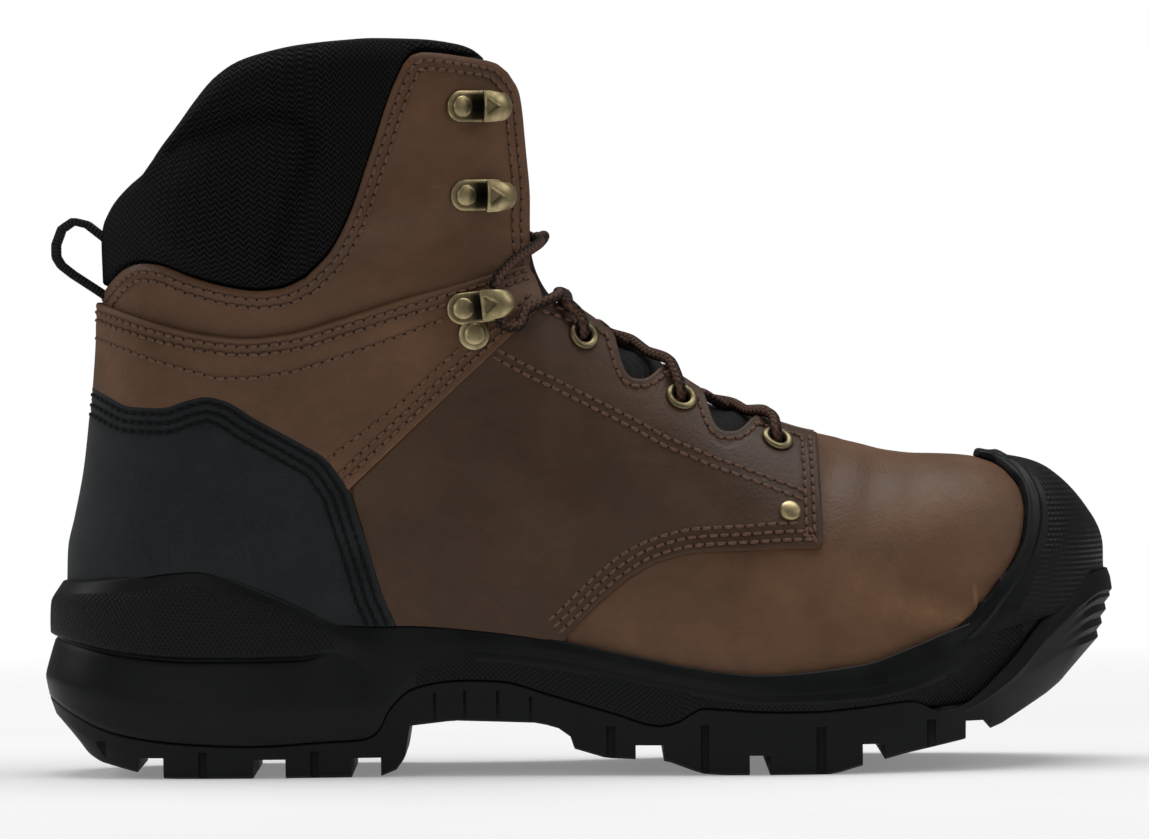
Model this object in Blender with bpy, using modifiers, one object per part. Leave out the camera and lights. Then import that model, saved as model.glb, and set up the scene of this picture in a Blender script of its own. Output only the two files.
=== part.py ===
"""Ankle-high work boot with a rubber toe cap, lugged sole and padded collar. Sizes in millimetres."""

import math

import bmesh
import bpy
import numpy as np

MM = 0.001

# Main sizes
HALF_LENGTH = 155.2
TOE_TIP = 148.5
TOE_RADIUS = 41.0
HEEL_RADIUS = 38.0
WALL = 2.0
SEAT_GAP = 0.5
PANEL_GAP = 0.4
HEEL_ROUND = 46.0
SHAFT_MIDDLE = -75.0
TOE_TUCK = 0.8
TOE_TUCK_BELOW = 46.0
LATERAL = -1
MEDIAL = 1

# Sole in plan: x, half width, centre line
PLAN = (
    (-140, 30.0, -2.4),
    (-120, 38.8, -2.4),
    (-100, 42.2, -2.2),
    (-75, 42.0, -2.4),
    (-50, 40.4, -3.2),
    (-20, 40.4, -3.8),
    (0, 43.0, -3.4),
    (25, 49.4, -2.2),
    (45, 54.6, -1.2),
    (60, 56.8, 0.0),
    (72, 56.8, 1.0),
    (85, 54.8, 2.4),
    (100, 51.4, 4.0),
    (120, 44.8, 6.0),
    (135, 36.2, 7.2),
    (147, 24.8, 8.0),
)

# Leather over the foot: x, half width at the feather edge, roundness of the section
FOOT = (
    (-60, 38.0, 2.2),
    (-30, 38.0, 2.1),
    (0, 39.4, 2.0),
    (25, 45.4, 2.0),
    (45, 50.4, 2.0),
    (60, 52.4, 2.05),
    (72, 52.2, 2.1),
    (85, 50.4, 2.2),
    (100, 47.2, 2.4),
    (120, 40.4, 2.7),
    (135, 30.6, 2.8),
    (144, 19.0, 2.8),
)

# Leather shaft: height, half width, back edge
SHAFT = (
    (24, 35.6, -145.4),
    (40, 36.8, -146.6),
    (56, 37.4, -146.3),
    (65, 37.4, -146.0),
    (74, 37.2, -144.0),
    (88, 36.8, -141.2),
    (101, 36.6, -139.6),
    (114, 37.0, -138.3),
    (128, 38.4, -137.4),
    (140, 40.0, -137.3),
    (154, 42.6, -137.6),
    (164, 44.4, -136.0),
    (180, 46.6, -134.0),
    (212, 49.6, -132.0),
)

# Ridge line of the leather over the throat, vamp and toe: x, height
RIDGE = (
    (-20, 250.0),
    (-13, 214.0),
    (-10, 185.0),
    (-8, 158.0),
    (-5.5, 146.5),
    (0, 139.2),
    (6, 135.2),
    (11.4, 131.2),
    (26.6, 121.2),
    (40, 112.2),
    (52, 105.6),
    (60, 101.6),
    (66, 98.8),
    (75, 94.8),
    (84, 92.2),
    (97, 90.0),
    (107, 89.8),
    (115, 89.0),
    (121, 87.2),
    (129, 83.6),
    (137, 78.0),
    (143, 71.0),
    (147, 63.5),
    (148.5, 56.0),
)

# Recess floor of the midsole: x, height
FLOOR = (
    (-150, 32.0),
    (-100, 31.5),
    (-60, 31.5),
    (-30, 30.5),
    (-5, 27.0),
    (20, 23.4),
    (45, 21.6),
    (75, 21.8),
    (100, 23.4),
    (120, 26.6),
    (132, 30.4),
    (142, 34.6),
    (150, 39.0),
)

# Top line of the leather behind the flap, then the throat edge: x, height
LEATHER_LINE = (
    (-137.3, 138.8),
    (-134.0, 142.6),
    (-129.5, 146.2),
    (-125.2, 147.6),
    (-120.8, 147.2),
    (-109.2, 143.1),
    (-97.7, 140.1),
    (-91.3, 139.3),
    (-84.6, 139.9),
    (-77.3, 143.0),
)
THROAT_LINE = (
    (-10.7, 137.0),
    (-8.0, 135.2),
    (-2.1, 134.6),
    (3.3, 131.5),
    (8.6, 127.5),
    (24.1, 117.3),
    (37.4, 108.4),
    (50.1, 102.0),
    (58.5, 99.2),
    (65.7, 96.9),
    (71.0, 95.6),
    (75.0, 94.8),
)

# Front flap: height and its rear edge, height and its front edge, x and its top edge
FLAP_REAR = ((143.0, -77.3), (150.5, -69.9), (159.7, -64.9), (178.6, -58.0), (195.9, -52.0), (203.6, -48.4))
FLAP_FRONT = ((137.0, -10.7), (146.7, -13.3), (159.4, -13.2), (185.0, -14.6), (196.1, -15.9), (201.5, -19.0))
FLAP_TOP = ((-48.4, 203.6), (-45.7, 206.2), (-42.0, 207.0), (-31.2, 205.8), (-22.5, 204.1), (-19.0, 201.5))
FLAP_STEPS = 7
FLAP_ROWS = 5

# Columns of the leather mesh, by the place of their top end
COLUMNS_BACK = (-137.3, -136.5, -134.0, -129.4, -122.5, -112.5, -100.5, -88.5)
COLUMNS_THROAT = (-1.5, 8.0, 18.0, 28.0, 38.0, 48.0, 57.5, 66.5)
COLUMNS_TOE = (75.0, 85.0, 96.0, 106.5, 116.0, 124.5, 131.5, 137.5, 142.2, 145.6, 147.7, 148.5)
COLUMN_SHIFT = ((-137.3, -8.4), (-110, -7.0), (-77.3, -4.0), (-10.7, 6.0), (40, 3.0), (75, 0.0), (148.5, 0.0))
UPPER_ROWS = 6

# Floor side of the outsole: x, height
GROUND = (
    (-156, 17.0),
    (-149.5, 12.8),
    (-141.9, 6.4),
    (-138.4, 4.5),
    (-128.5, 2.0),
    (-119, 0.0),
    (-58, 0.0),
    (-53, 2.0),
    (-50.5, 5.4),
    (-49, 14.5),
    (-36.4, 15.9),
    (-11.9, 15.0),
    (-3.6, 12.6),
    (-2, 7.6),
    (7, 4.9),
    (24, 4.2),
    (34, 0.5),
    (40, 0.0),
    (72, 0.0),
    (79, 2.0),
    (92.6, 5.4),
    (110, 8.9),
    (121, 12.9),
    (134.6, 20.6),
    (143.4, 26.3),
    (151, 35.2),
)

# Line between outsole and midsole on the side wall: x, height
PARTING = (
    (-155, 23.0),
    (-147.6, 18.6),
    (-138, 14.1),
    (-128, 11.7),
    (-114, 10.1),
    (-94, 9.3),
    (-72, 10.4),
    (-62.5, 10.9),
    (-58, 13.2),
    (-55, 19.0),
    (-48.4, 25.1),
    (-41, 27.0),
    (-34, 27.6),
    (-23, 27.2),
    (-9.5, 23.4),
    (9.6, 17.7),
    (22, 14.2),
    (28, 15.6),
    (34, 19.2),
    (53, 18.1),
    (66, 18.0),
    (80, 19.0),
    (95, 20.4),
    (103, 17.4),
    (108, 18.4),
    (123, 29.4),
    (136.6, 44.7),
    (145, 52.0),
    (152, 56.0),
    (156, 56.2),
)

# Tray floor of the outsole at the toe, where the midsole lies on it: x, height
TOE_TRAY = (
    (90, 19.4),
    (96, 18.8),
    (103, 16.8),
    (112, 17.6),
    (122, 19.8),
    (134, 25.0),
    (143, 30.0),
    (156, 35.6),
)

# Side wall of the midsole, five levels from the parting line up: x, then height and offset of each level
MIDSOLE = (
    (-155, 23.3, -1.0, 29.0, 0.0, 40.7, -3.0, 50.3, -1.8, 56.0, -5.4),
    (-130, 12.5, -1.0, 24.0, 0.0, 36.0, -2.6, 51.0, -0.8, 58.0, -3.0),
    (-110, 10.3, -1.0, 22.0, 0.0, 34.6, -2.6, 52.6, -0.6, 60.0, -2.4),
    (-95, 9.6, -1.0, 21.0, 0.0, 34.6, -2.4, 50.0, -0.6, 55.2, -2.4),
    (-80, 9.8, -1.0, 21.0, 0.0, 34.8, -2.2, 45.0, -0.8, 48.8, -2.3),
    (-70, 10.8, -1.0, 21.0, 0.0, 36.0, -1.6, 41.0, -1.0, 44.3, -2.3),
    (-58, 13.5, -1.0, 20.2, 0.0, 30.0, -0.8, 38.0, -1.3, 43.4, -2.6),
    (-48, 25.4, -1.0, 29.4, 0.0, 33.0, -0.6, 38.0, -1.2, 43.3, -2.4),
    (-31, 27.9, -1.0, 33.8, 0.0, 36.0, -0.5, 38.6, -1.0, 42.0, -2.4),
    (-10, 23.8, -1.0, 32.0, 0.0, 34.0, -0.5, 36.5, -1.0, 39.2, -2.4),
    (17, 15.6, -1.0, 26.3, 0.0, 28.4, -0.5, 30.8, -1.0, 33.5, -2.4),
    (34, 19.5, -1.0, 23.2, 0.0, 25.2, -0.5, 27.6, -1.0, 30.2, -2.4),
    (51, 18.4, -1.0, 20.6, 0.0, 23.0, -0.5, 25.6, -1.0, 28.5, -2.4),
    (81, 19.3, -1.0, 21.4, 0.0, 24.2, -0.5, 27.6, -1.0, 31.1, -2.4),
    (96, 20.7, -1.0, 24.5, 0.0, 28.0, -0.6, 32.0, -1.2, 36.0, -2.4),
    (106, 18.8, -3.4, 28.0, -1.2, 32.0, -1.2, 36.0, -1.6, 39.8, -2.8),
    (116, 20.0, -4.0, 29.0, -3.4, 34.0, -3.3, 38.6, -3.2, 43.0, -3.6),
    (130, 24.4, -5.6, 31.0, -4.6, 37.0, -3.6, 42.0, -3.2, 46.5, -3.6),
    (155, 36.6, -10.0, 39.4, -7.6, 43.0, -5.5, 47.0, -3.8, 51.0, -3.6),
)

# Side wall of the outsole: x, offset of the floor edge, height and offset of the middle, offset of the top edge
OUTSOLE = (
    (-155, -9.0, 17.8, -2.8, -1.2),
    (-140, -5.0, 10.0, -2.2, -1.2),
    (-120, -3.0, 5.5, -1.8, -1.2),
    (-94, -2.4, 5.0, -1.6, -1.2),
    (-60, -2.4, 6.0, -1.6, -1.2),
    (-48, -2.8, 20.0, -1.8, -1.2),
    (-20, -2.8, 21.0, -1.8, -1.2),
    (0, -2.4, 14.0, -1.6, -1.2),
    (22, -2.2, 9.4, -1.5, -1.0),
    (34, -2.2, 10.0, -1.4, -1.0),
    (60, -2.2, 9.0, -1.4, -1.0),
    (85, -2.4, 11.0, -1.4, -1.0),
    (103, -3.0, 13.5, -1.2, -0.4),
    (115, -4.4, 18.5, -1.4, 0.0),
    (130, -8.0, 27.0, -2.2, 0.0),
    (145, -11.0, 33.5, -3.4, 0.0),
    (155, -13.0, 36.0, -4.2, 0.0),
)

# Places along the sole where its loops have points
STATIONS = (
    -153.8, -149.5, -142.0, -131.0, -117.0, -105.0, -91.0, -78.0, -62.5, -57.0, -53.0, -50.5, -49.0, -41.0, -30.0,
    -17.0, -3.6, -2.0, 8.0, 22.0, 34.0, 46.0, 60.0, 75.0, 88.5, 98.0, 107.0, 115.5, 123.5, 131.0, 138.0, 144.0,
    149.0, 153.0,
)

# Grooves across the tread: start, end, height of their top
CROSS_GROOVES = (
    (-127.4, -119.8, 6.0),
    (-94.0, -84.7, 5.4),
    (-65.8, -57.4, 5.6),
    (15.5, 23.5, 8.6),
    (47.9, 53.7, 5.6),
    (80.2, 86.6, 8.4),
    (110.1, 117.4, 14.2),
)

# Grooves along the tread: start, end, y, height of their top
LONG_GROOVES = (
    (-119.8, -65.8, -2.4, 4.6),
    (23.5, 80.2, -17.0, 5.4),
    (23.5, 80.2, 17.0, 5.4),
)
LONG_GROOVE_WIDTH = 6.0


# Interpolation
def smooth(table, column=1):
    """Smooth curve without overshoot through a column of a table."""
    rows = np.array(table, float)
    at, value = rows[:, 0], rows[:, column]
    step = np.diff(at)
    slope = np.diff(value) / step
    tangent = np.zeros(len(at))
    tangent[0] = slope[0]
    tangent[-1] = slope[-1]
    for i in range(1, len(at) - 1):
        if slope[i - 1] * slope[i] > 0:
            one = 2 * step[i] + step[i - 1]
            two = step[i] + 2 * step[i - 1]
            tangent[i] = (one + two) / (one / slope[i - 1] + two / slope[i])

    def value_at(x):
        x = np.clip(np.asarray(x, float), at[0], at[-1])
        i = np.clip(np.searchsorted(at, x, side="right") - 1, 0, len(step) - 1)
        t = (x - at[i]) / step[i]
        low = value[i] * (1 + 2 * t) * (1 - t) ** 2 + tangent[i] * step[i] * t * (1 - t) ** 2
        high = value[i + 1] * t * t * (3 - 2 * t) + tangent[i + 1] * step[i] * t * t * (t - 1)
        return low + high

    return value_at


def straight(table, column=1):
    """Straight lines through a column of a table."""
    rows = np.array(table, float)
    return lambda x: np.interp(x, rows[:, 0], rows[:, column])


def end_curve(table, column, tip, tip_value):
    """Half width that closes like an ellipse at both tips of the length."""
    rows = [(row[0], row[column] / math.sqrt(1 - (row[0] / tip) ** 2)) for row in table]
    full = smooth([(-tip, tip_value[0])] + rows + [(tip, tip_value[1])])
    return lambda x: full(x) * np.sqrt(np.maximum(0.0, 1 - (np.asarray(x, float) / tip) ** 2))


def ease(t):
    t = np.clip(t, 0.0, 1.0)
    return t * t * (3 - 2 * t)


def round_off(t, power):
    return np.maximum(0.0, 1 - np.clip(t, 0.0, 1.0) ** power) ** (1 / power)


sole_half = end_curve(
    PLAN, 1, HALF_LENGTH, (math.sqrt(HEEL_RADIUS * HALF_LENGTH), math.sqrt(TOE_RADIUS * HALF_LENGTH))
)
foot_half = end_curve(FOOT, 1, TOE_TIP, (FOOT[0][1], math.sqrt(TOE_RADIUS * TOE_TIP)))
foot_power = smooth(FOOT, 2)
centre = smooth(PLAN, 2)
shaft_half = smooth(SHAFT, 1)
back_edge = smooth(SHAFT, 2)
ridge = smooth(RIDGE)
ridge_front = smooth([(z, x) for x, z in reversed(RIDGE)])
floor_level = smooth(FLOOR)
leather_line = smooth(LEATHER_LINE)
throat_line = smooth(THROAT_LINE)
column_shift = smooth(COLUMN_SHIFT)
ground = straight(GROUND)
parting = smooth(PARTING)
toe_tray = smooth(TOE_TRAY)


def feather(x):
    """Lower edge of the leather."""
    return floor_level(x) + 0.4


def tuck(x, z):
    """How far the leather draws back under the toe."""
    return TOE_TUCK * np.maximum(0.0, TOE_TUCK_BELOW - z) * ease((x - 100) / 40)


def half_width(x, z):
    """Half width of the bare leather at length x and height z, in millimetres."""
    x, z = np.broadcast_arrays(np.asarray(x, float), np.asarray(z, float))
    placed = x
    for _ in range(8):
        x = np.minimum(placed + tuck(x, z), TOE_TIP)
    low = feather(x)
    rise = np.clip((z - low) / np.maximum(ridge(x) - low, 1.0), 0.0, 1.0)
    foot = foot_half(x) * round_off(rise, foot_power(x))
    heel = round_off(1 - (x - back_edge(z)) / HEEL_ROUND, 2.1)
    front = round_off((x - SHAFT_MIDDLE) / (ridge_front(z) - SHAFT_MIDDLE), 2.0)
    shaft = shaft_half(z) * heel * front
    mix = ease((x - 0.35 * (z - 90) + 40) / 80)
    return shaft + (foot - shaft) * mix


def on_leather(x, z, side):
    """Point of the bare leather's outer face."""
    return np.array((x, centre(x) + side * half_width(x, z), z))


# Scene helpers
for old in list(bpy.data.objects):
    bpy.data.objects.remove(old, do_unlink=True)
boot = bpy.data.collections.new("work_boot")
cutters = bpy.data.collections.new("cutters")
bpy.context.scene.collection.children.link(boot)
bpy.context.scene.collection.children.link(cutters)


def material(name, colour, roughness, metallic=0.0):
    made = bpy.data.materials.new(name)
    made.use_nodes = True
    shader = made.node_tree.nodes["Principled BSDF"]
    shader.inputs["Base Color"].default_value = (*colour, 1.0)
    shader.inputs["Roughness"].default_value = roughness
    shader.inputs["Metallic"].default_value = metallic
    return made


LEATHER = material("brown_leather", (0.115, 0.062, 0.040), 0.55)
NUBUCK = material("grey_nubuck", (0.020, 0.024, 0.025), 0.8)
RUBBER = material("black_rubber", (0.012, 0.012, 0.013), 0.5)
MESH = material("black_mesh", (0.010, 0.010, 0.011), 0.85)
FOAM = material("insole_foam", (0.030, 0.030, 0.032), 0.9)
BRASS = material("antique_brass", (0.30, 0.24, 0.12), 0.4, 0.9)
CORD = material("lace_cord", (0.050, 0.026, 0.018), 0.8)


def make_object(name, points, faces, look, merge=0.0, facing=True):
    """Mesh object from points in millimetres."""
    data = bpy.data.meshes.new(name)
    data.from_pydata([tuple(float(v) * MM for v in p) for p in points], [], faces)
    shape = bmesh.new()
    shape.from_mesh(data)
    if merge:
        bmesh.ops.remove_doubles(shape, verts=shape.verts, dist=merge * MM)
    if facing:
        bmesh.ops.recalc_face_normals(shape, faces=shape.faces)
    shape.to_mesh(data)
    shape.free()
    data.shade_smooth()
    data.materials.append(look)
    made = bpy.data.objects.new(name, data)
    boot.objects.link(made)
    return made


def as_cutter(made):
    boot.objects.unlink(made)
    cutters.objects.link(made)
    made.hide_render = True
    made.display_type = "WIRE"
    return made


def cut(target, cutter):
    modifier = target.modifiers.new(cutter.name, "BOOLEAN")
    modifier.operation = "DIFFERENCE"
    modifier.solver = "EXACT"
    modifier.object = cutter


def thicken(target, thickness, outward):
    modifier = target.modifiers.new("wall", "SOLIDIFY")
    modifier.thickness = thickness * MM
    modifier.offset = 1.0 if outward else -1.0
    modifier.use_rim = True
    modifier.use_quality_normals = True


def grid_faces(columns, rows, start=0, flip=False):
    """Quads of a grid whose points run row by row within each column."""
    faces = []
    for c in range(columns - 1):
        for r in range(rows - 1):
            a = start + c * rows + r
            quad = (a, a + 1, a + rows + 1, a + rows)
            faces.append((quad[0], *quad[:0:-1]) if flip else quad)
    return faces


# Upper: one shell of leather, open at the collar, the throat and underneath
def top_of_column(x):
    if x < FLAP_REAR[0][1]:
        return float(leather_line(x))
    if x <= FLAP_FRONT[0][1]:
        share = (x - FLAP_REAR[0][1]) / (FLAP_FRONT[0][1] - FLAP_REAR[0][1])
        return FLAP_REAR[0][0] + share * (FLAP_FRONT[0][0] - FLAP_REAR[0][0])
    if x < THROAT_LINE[-1][0]:
        return float(throat_line(x))
    return float(ridge(x))


def foot_column(x_top):
    """Side view of one column of the leather, from the feather edge up."""
    z_top = top_of_column(x_top)
    x_low = x_top + float(column_shift(x_top))
    if x_top <= COLUMNS_BACK[0]:
        x_low = float(back_edge(feather(-146)))
    z_low = float(feather(x_low))
    bow = 1 - ease((x_top + 137.3) / 60)
    crowd = ease((x_top + 10) / 85)
    for _ in range(12):
        z_low = float(feather(x_low - tuck(x_low, z_low)))
    rows = []
    for i in range(UPPER_ROWS + 1):
        even = i / UPPER_ROWS
        t = even + crowd * (math.sin(0.5 * math.pi * even) - even)
        z = z_low + (z_top - z_low) * t
        chord = back_edge(z_low) + (back_edge(z_top) - back_edge(z_low)) * t
        x = x_low + (x_top - x_low) * t + bow * (back_edge(z) - chord)
        if x_top <= COLUMNS_BACK[0]:
            x = back_edge(z)
        rows.append((float(x - tuck(x, z)), z))
    return rows


def flap_columns(base):
    """Side view of the front flap, above the columns whose top points are in base."""
    rear = smooth(FLAP_REAR)
    front = smooth(FLAP_FRONT)
    top = smooth(FLAP_TOP)
    columns = []
    for k, (x_base, z_base) in enumerate(base):
        share = k / FLAP_STEPS
        x_top = FLAP_TOP[0][0] + share * (FLAP_TOP[-1][0] - FLAP_TOP[0][0])
        z_top = float(top(x_top))
        rows = [(x_base, z_base)]
        for i in range(1, FLAP_ROWS + 1):
            z = z_base + (z_top - z_base) * i / FLAP_ROWS
            x = (1 - share) * rear(z) + share * front(z)
            rows.append((float(x), z))
        columns.append(rows)
    return columns


FLAP_BASE = [
    FLAP_REAR[0][1] + k / FLAP_STEPS * (FLAP_FRONT[0][1] - FLAP_REAR[0][1]) for k in range(FLAP_STEPS + 1)
]
foot_columns = [foot_column(x) for x in (*COLUMNS_BACK, *FLAP_BASE, *COLUMNS_THROAT, *COLUMNS_TOE)]
first = len(COLUMNS_BACK)
flap_base = [column[-1] for column in foot_columns[first : first + FLAP_STEPS + 1]]
flap = flap_columns(flap_base)


def skin(columns, side, start):
    """Points and quads of a block of columns on one side of the leather."""
    points = []
    for column in columns:
        for x, z in column:
            points.append(on_leather(x, z, side))
    return points, grid_faces(len(columns), len(columns[0]), start, side == LATERAL)


upper_points, upper_faces = [], []
for side in (LATERAL, MEDIAL):
    for block in (foot_columns, flap):
        points, faces = skin(block, side, len(upper_points))
        upper_points += points
        upper_faces += faces
upper = make_object("upper", upper_points, upper_faces, LEATHER, merge=0.05, facing=False)
split = bmesh.new()
split.from_mesh(upper.data)
bmesh.ops.triangulate(split, faces=split.faces, quad_method="FIXED")
split.to_mesh(upper.data)
split.free()
thicken(upper, WALL, False)


# Sole: loops around the foot, each with a point at the heel tip, the stations of both sides and the toe tip
def plan_point(x, side):
    angle = math.acos(max(-1.0, min(1.0, -x / HALF_LENGTH)))
    step = 1e-3
    around = []
    for a in (angle - step, angle, angle + step):
        px = -HALF_LENGTH * math.cos(a)
        turn = side if math.sin(a) >= 0 else -side
        around.append((px, float(centre(px)) + turn * float(sole_half(px))))
    (ax, ay), place, (bx, by) = around
    run = math.hypot(bx - ax, by - ay)
    return np.array(place), np.array((-side * (by - ay), side * (bx - ax))) / run


RING = [(-HALF_LENGTH, LATERAL)] + [(x, LATERAL) for x in STATIONS]
RING += [(HALF_LENGTH, LATERAL)] + [(x, MEDIAL) for x in reversed(STATIONS)]
RING_PLAN = [plan_point(x, side) for x, side in RING]
COUNT = len(RING)


def loop(offset, height, follow=False):
    """One loop: the plan outline moved outwards by offset(x), at height(x) of the station or of the point."""
    points = []
    for (x, _), (place, outward) in zip(RING, RING_PLAN):
        px, py = place + outward * float(offset(x))
        points.append((px, py, float(height(px if follow else x))))
    return points


def seat_offset(index, z):
    """Offset at which the outline meets the leather at height z."""
    place, outward = RING_PLAN[index]

    def inside(offset):
        x, y = place + outward * offset
        if x <= float(back_edge(z)) or x >= TOE_TIP:
            return False
        return abs(y - float(centre(x))) < float(half_width(x, z))

    near, far = 4.0, -26.0
    for _ in range(40):
        middle = 0.5 * (near + far)
        if inside(middle):
            far = middle
        else:
            near = middle
    return near


def seat_loop(height, gap, follow=True):
    """Loop that follows the leather, moved outwards by gap, at height(x) of the point or of the station."""
    points = []
    for index, (x, _) in enumerate(RING):
        place, outward = RING_PLAN[index]
        px, py = place
        for _ in range(6):
            z = float(height(px if follow else x))
            px, py = place + outward * (seat_offset(index, max(z, float(feather(px)) + 0.2)) + float(gap(x)))
        points.append((px, py, z))
    return points


def bowl(name, loops, look):
    """Solid through loops in order, with the first and the last closed across."""
    points = [p for ring in loops for p in ring]
    faces = []
    for k in range(len(loops) - 1):
        for i in range(COUNT):
            a, b = k * COUNT + i, k * COUNT + (i + 1) % COUNT
            faces.append((a, b, b + COUNT, a + COUNT))
    for start in (0, (len(loops) - 1) * COUNT):
        half = len(STATIONS)
        for i in range(half + 1):
            a, b = start + i, start + i + 1
            c, d = start + (COUNT - i - 1) % COUNT, start + (COUNT - i) % COUNT
            faces.append(tuple(dict.fromkeys((a, b, c, d))))
    return make_object(name, points, faces, look)


def level(column):
    return smooth([(row[0], row[column]) for row in MIDSOLE])


def inner_rim(x):
    return level(9)(x) - 0.6


def at_toe(x):
    return ease((x - 96) / 10)


def tray(x):
    return parting(x) - 0.5 + at_toe(x) * (toe_tray(x) - parting(x) + 0.5)


def seat_gap(x):
    return SEAT_GAP + 0.5 * ease((x - 85) / 30)


def insole_gap(x):
    return -WALL - 0.9 - 3.0 * ease((x - 105) / 40)


def midsole_foot(x):
    return parting(x) + 0.2 + at_toe(x) * (level(1)(x) - parting(x) - 0.2)


midsole = bowl(
    "midsole",
    [
        loop(lambda x: level(2)(x) - 3.0, lambda x: tray(x) + 0.3 + 0.5 * at_toe(x)),
        loop(level(2), midsole_foot),
        loop(level(4), level(3)),
        loop(level(6), level(5)),
        loop(level(8), level(7)),
        loop(level(10), level(9)),
        seat_loop(inner_rim, seat_gap, follow=False),
        seat_loop(lambda x: 0.5 * (inner_rim(x) + floor_level(x)), seat_gap, follow=False),
        seat_loop(floor_level, seat_gap),
    ],
    RUBBER,
)

floor_edge = smooth([(row[0], row[1]) for row in OUTSOLE])
middle_height = smooth([(row[0], row[2]) for row in OUTSOLE])
middle_edge = smooth([(row[0], row[3]) for row in OUTSOLE])
top_edge = smooth([(row[0], row[4]) for row in OUTSOLE])
bumper = smooth(((-155, 0.0), (100, 0.0), (130, 3.0), (155, 5.4)))
wall_middle = smooth(((96, 18.0), (110, 19.0), (130, 33.0), (155, 46.0)))
tray_edge = smooth(((-155, -3.8), (100, -3.8), (118, -3.8), (130, -4.8), (155, -9.2)))
outsole = bowl(
    "outsole",
    [
        loop(floor_edge, ground, follow=True),
        loop(middle_edge, middle_height),
        loop(top_edge, lambda x: parting(x) - 0.6 - bumper(x)),
        loop(lambda x: top_edge(x) - 0.3 - 0.18 * bumper(x), lambda x: parting(x) - 0.2),
        loop(lambda x: -2.2, lambda x: parting(x) - 0.35),
        loop(
            lambda x: -3.2 + 0.2 * at_toe(x),
            lambda x: parting(x) - 0.45 + at_toe(x) * (wall_middle(x) - parting(x) + 0.45),
        ),
        loop(tray_edge, tray),
    ],
    RUBBER,
)


def box(name, low, high):
    corners = [(x, y, z) for x in (low[0], high[0]) for y in (low[1], high[1]) for z in (low[2], high[2])]
    faces = [(0, 1, 3, 2), (4, 6, 7, 5), (0, 4, 5, 1), (2, 3, 7, 6), (0, 2, 6, 4), (1, 5, 7, 3)]
    return make_object(name, corners, faces, RUBBER)


for number, (start, end, top) in enumerate(CROSS_GROOVES):
    cut(outsole, as_cutter(box(f"cross_groove_{number}", (start, -70, -5), (end, 70, top))))
for number, (start, end, y, top) in enumerate(LONG_GROOVES):
    low = (start - 1, y - LONG_GROOVE_WIDTH / 2, -5)
    high = (end + 1, y + LONG_GROOVE_WIDTH / 2, top)
    cut(outsole, as_cutter(box(f"long_groove_{number}", low, high)))

insole = bowl(
    "insole",
    [
        seat_loop(lambda x: floor_level(x) + 0.5, insole_gap),
        seat_loop(lambda x: floor_level(x) + 5.0, insole_gap),
    ],
    FOAM,
)


# Panels that lie on the leather
COUNTER_TOP = (
    (-138.3, 112.4),
    (-134.3, 110.3),
    (-127.1, 107.0),
    (-118.4, 106.6),
    (-111.1, 108.8),
    (-105.9, 109.8),
    (-100.9, 108.7),
    (-92.3, 103.4),
    (-80.7, 96.9),
    (-72.1, 91.5),
    (-65.8, 82.6),
)
ANKLE_TOP = (
    (-137.3, 136.6),
    (-129.7, 133.8),
    (-118.1, 130.1),
    (-106.5, 127.4),
    (-94.9, 126.1),
    (-83.3, 127.1),
    (-68.7, 131.0),
    (-51.2, 136.3),
    (-33.7, 140.8),
    (-22.1, 144.1),
    (-15.6, 146.0),
    (-9.6, 134.6),
)
QUARTER_LOW = (
    (-4.4, 39.0),
    (0.6, 43.6),
    (7.4, 49.9),
    (15.3, 56.2),
    (22.0, 59.9),
    (34.1, 62.8),
    (52.0, 63.5),
    (69.6, 64.2),
)
CAP_REAR = (
    (39.0, 104.0),
    (44.4, 113.4),
    (52.7, 119.5),
    (59.0, 124.3),
    (66.3, 127.3),
    (74.4, 128.3),
    (79.4, 127.4),
    (83.7, 124.6),
    (87.0, 120.6),
    (89.0, 115.0),
)
COUNTER_THICKNESS = 2.0
ANKLE_THICKNESS = 2.0
QUARTER_THICKNESS = 1.4
CAP_THICKNESS = 2.6

counter_top = smooth(COUNTER_TOP)
ankle_top = smooth(ANKLE_TOP)
quarter_low = smooth(QUARTER_LOW)
cap_rear = smooth(CAP_REAR)
rim_line = level(9)


def sole_rim(x):
    """Height just above the rim of the midsole beside the leather."""
    beside = x + 6.7 * ease((x - 110) / 38) - 6.0 * ease((-120 - x) / 28)
    coarse = ease((x + 90) / 12) * (1 - ease((x + 62) / 8))
    return float(rim_line(beside)) + 0.7 + 1.0 * coarse


def along(curve, start, end, count):
    """Side view points of a curve between two lengths."""
    return [(x, float(curve(x))) for x in np.linspace(start, end, count)]


def prism(name, outline, near, far):
    """Side view outline drawn out between two values of y."""
    count = len(outline)
    points = [(x, y, z) for y in (near, far) for x, z in outline]
    faces = [tuple(range(count)), tuple(range(count, 2 * count))]
    for i in range(count):
        j = (i + 1) % count
        faces.append((i, j, j + count, i + count))
    return as_cutter(make_object(name, points, faces, LEATHER))


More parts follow.
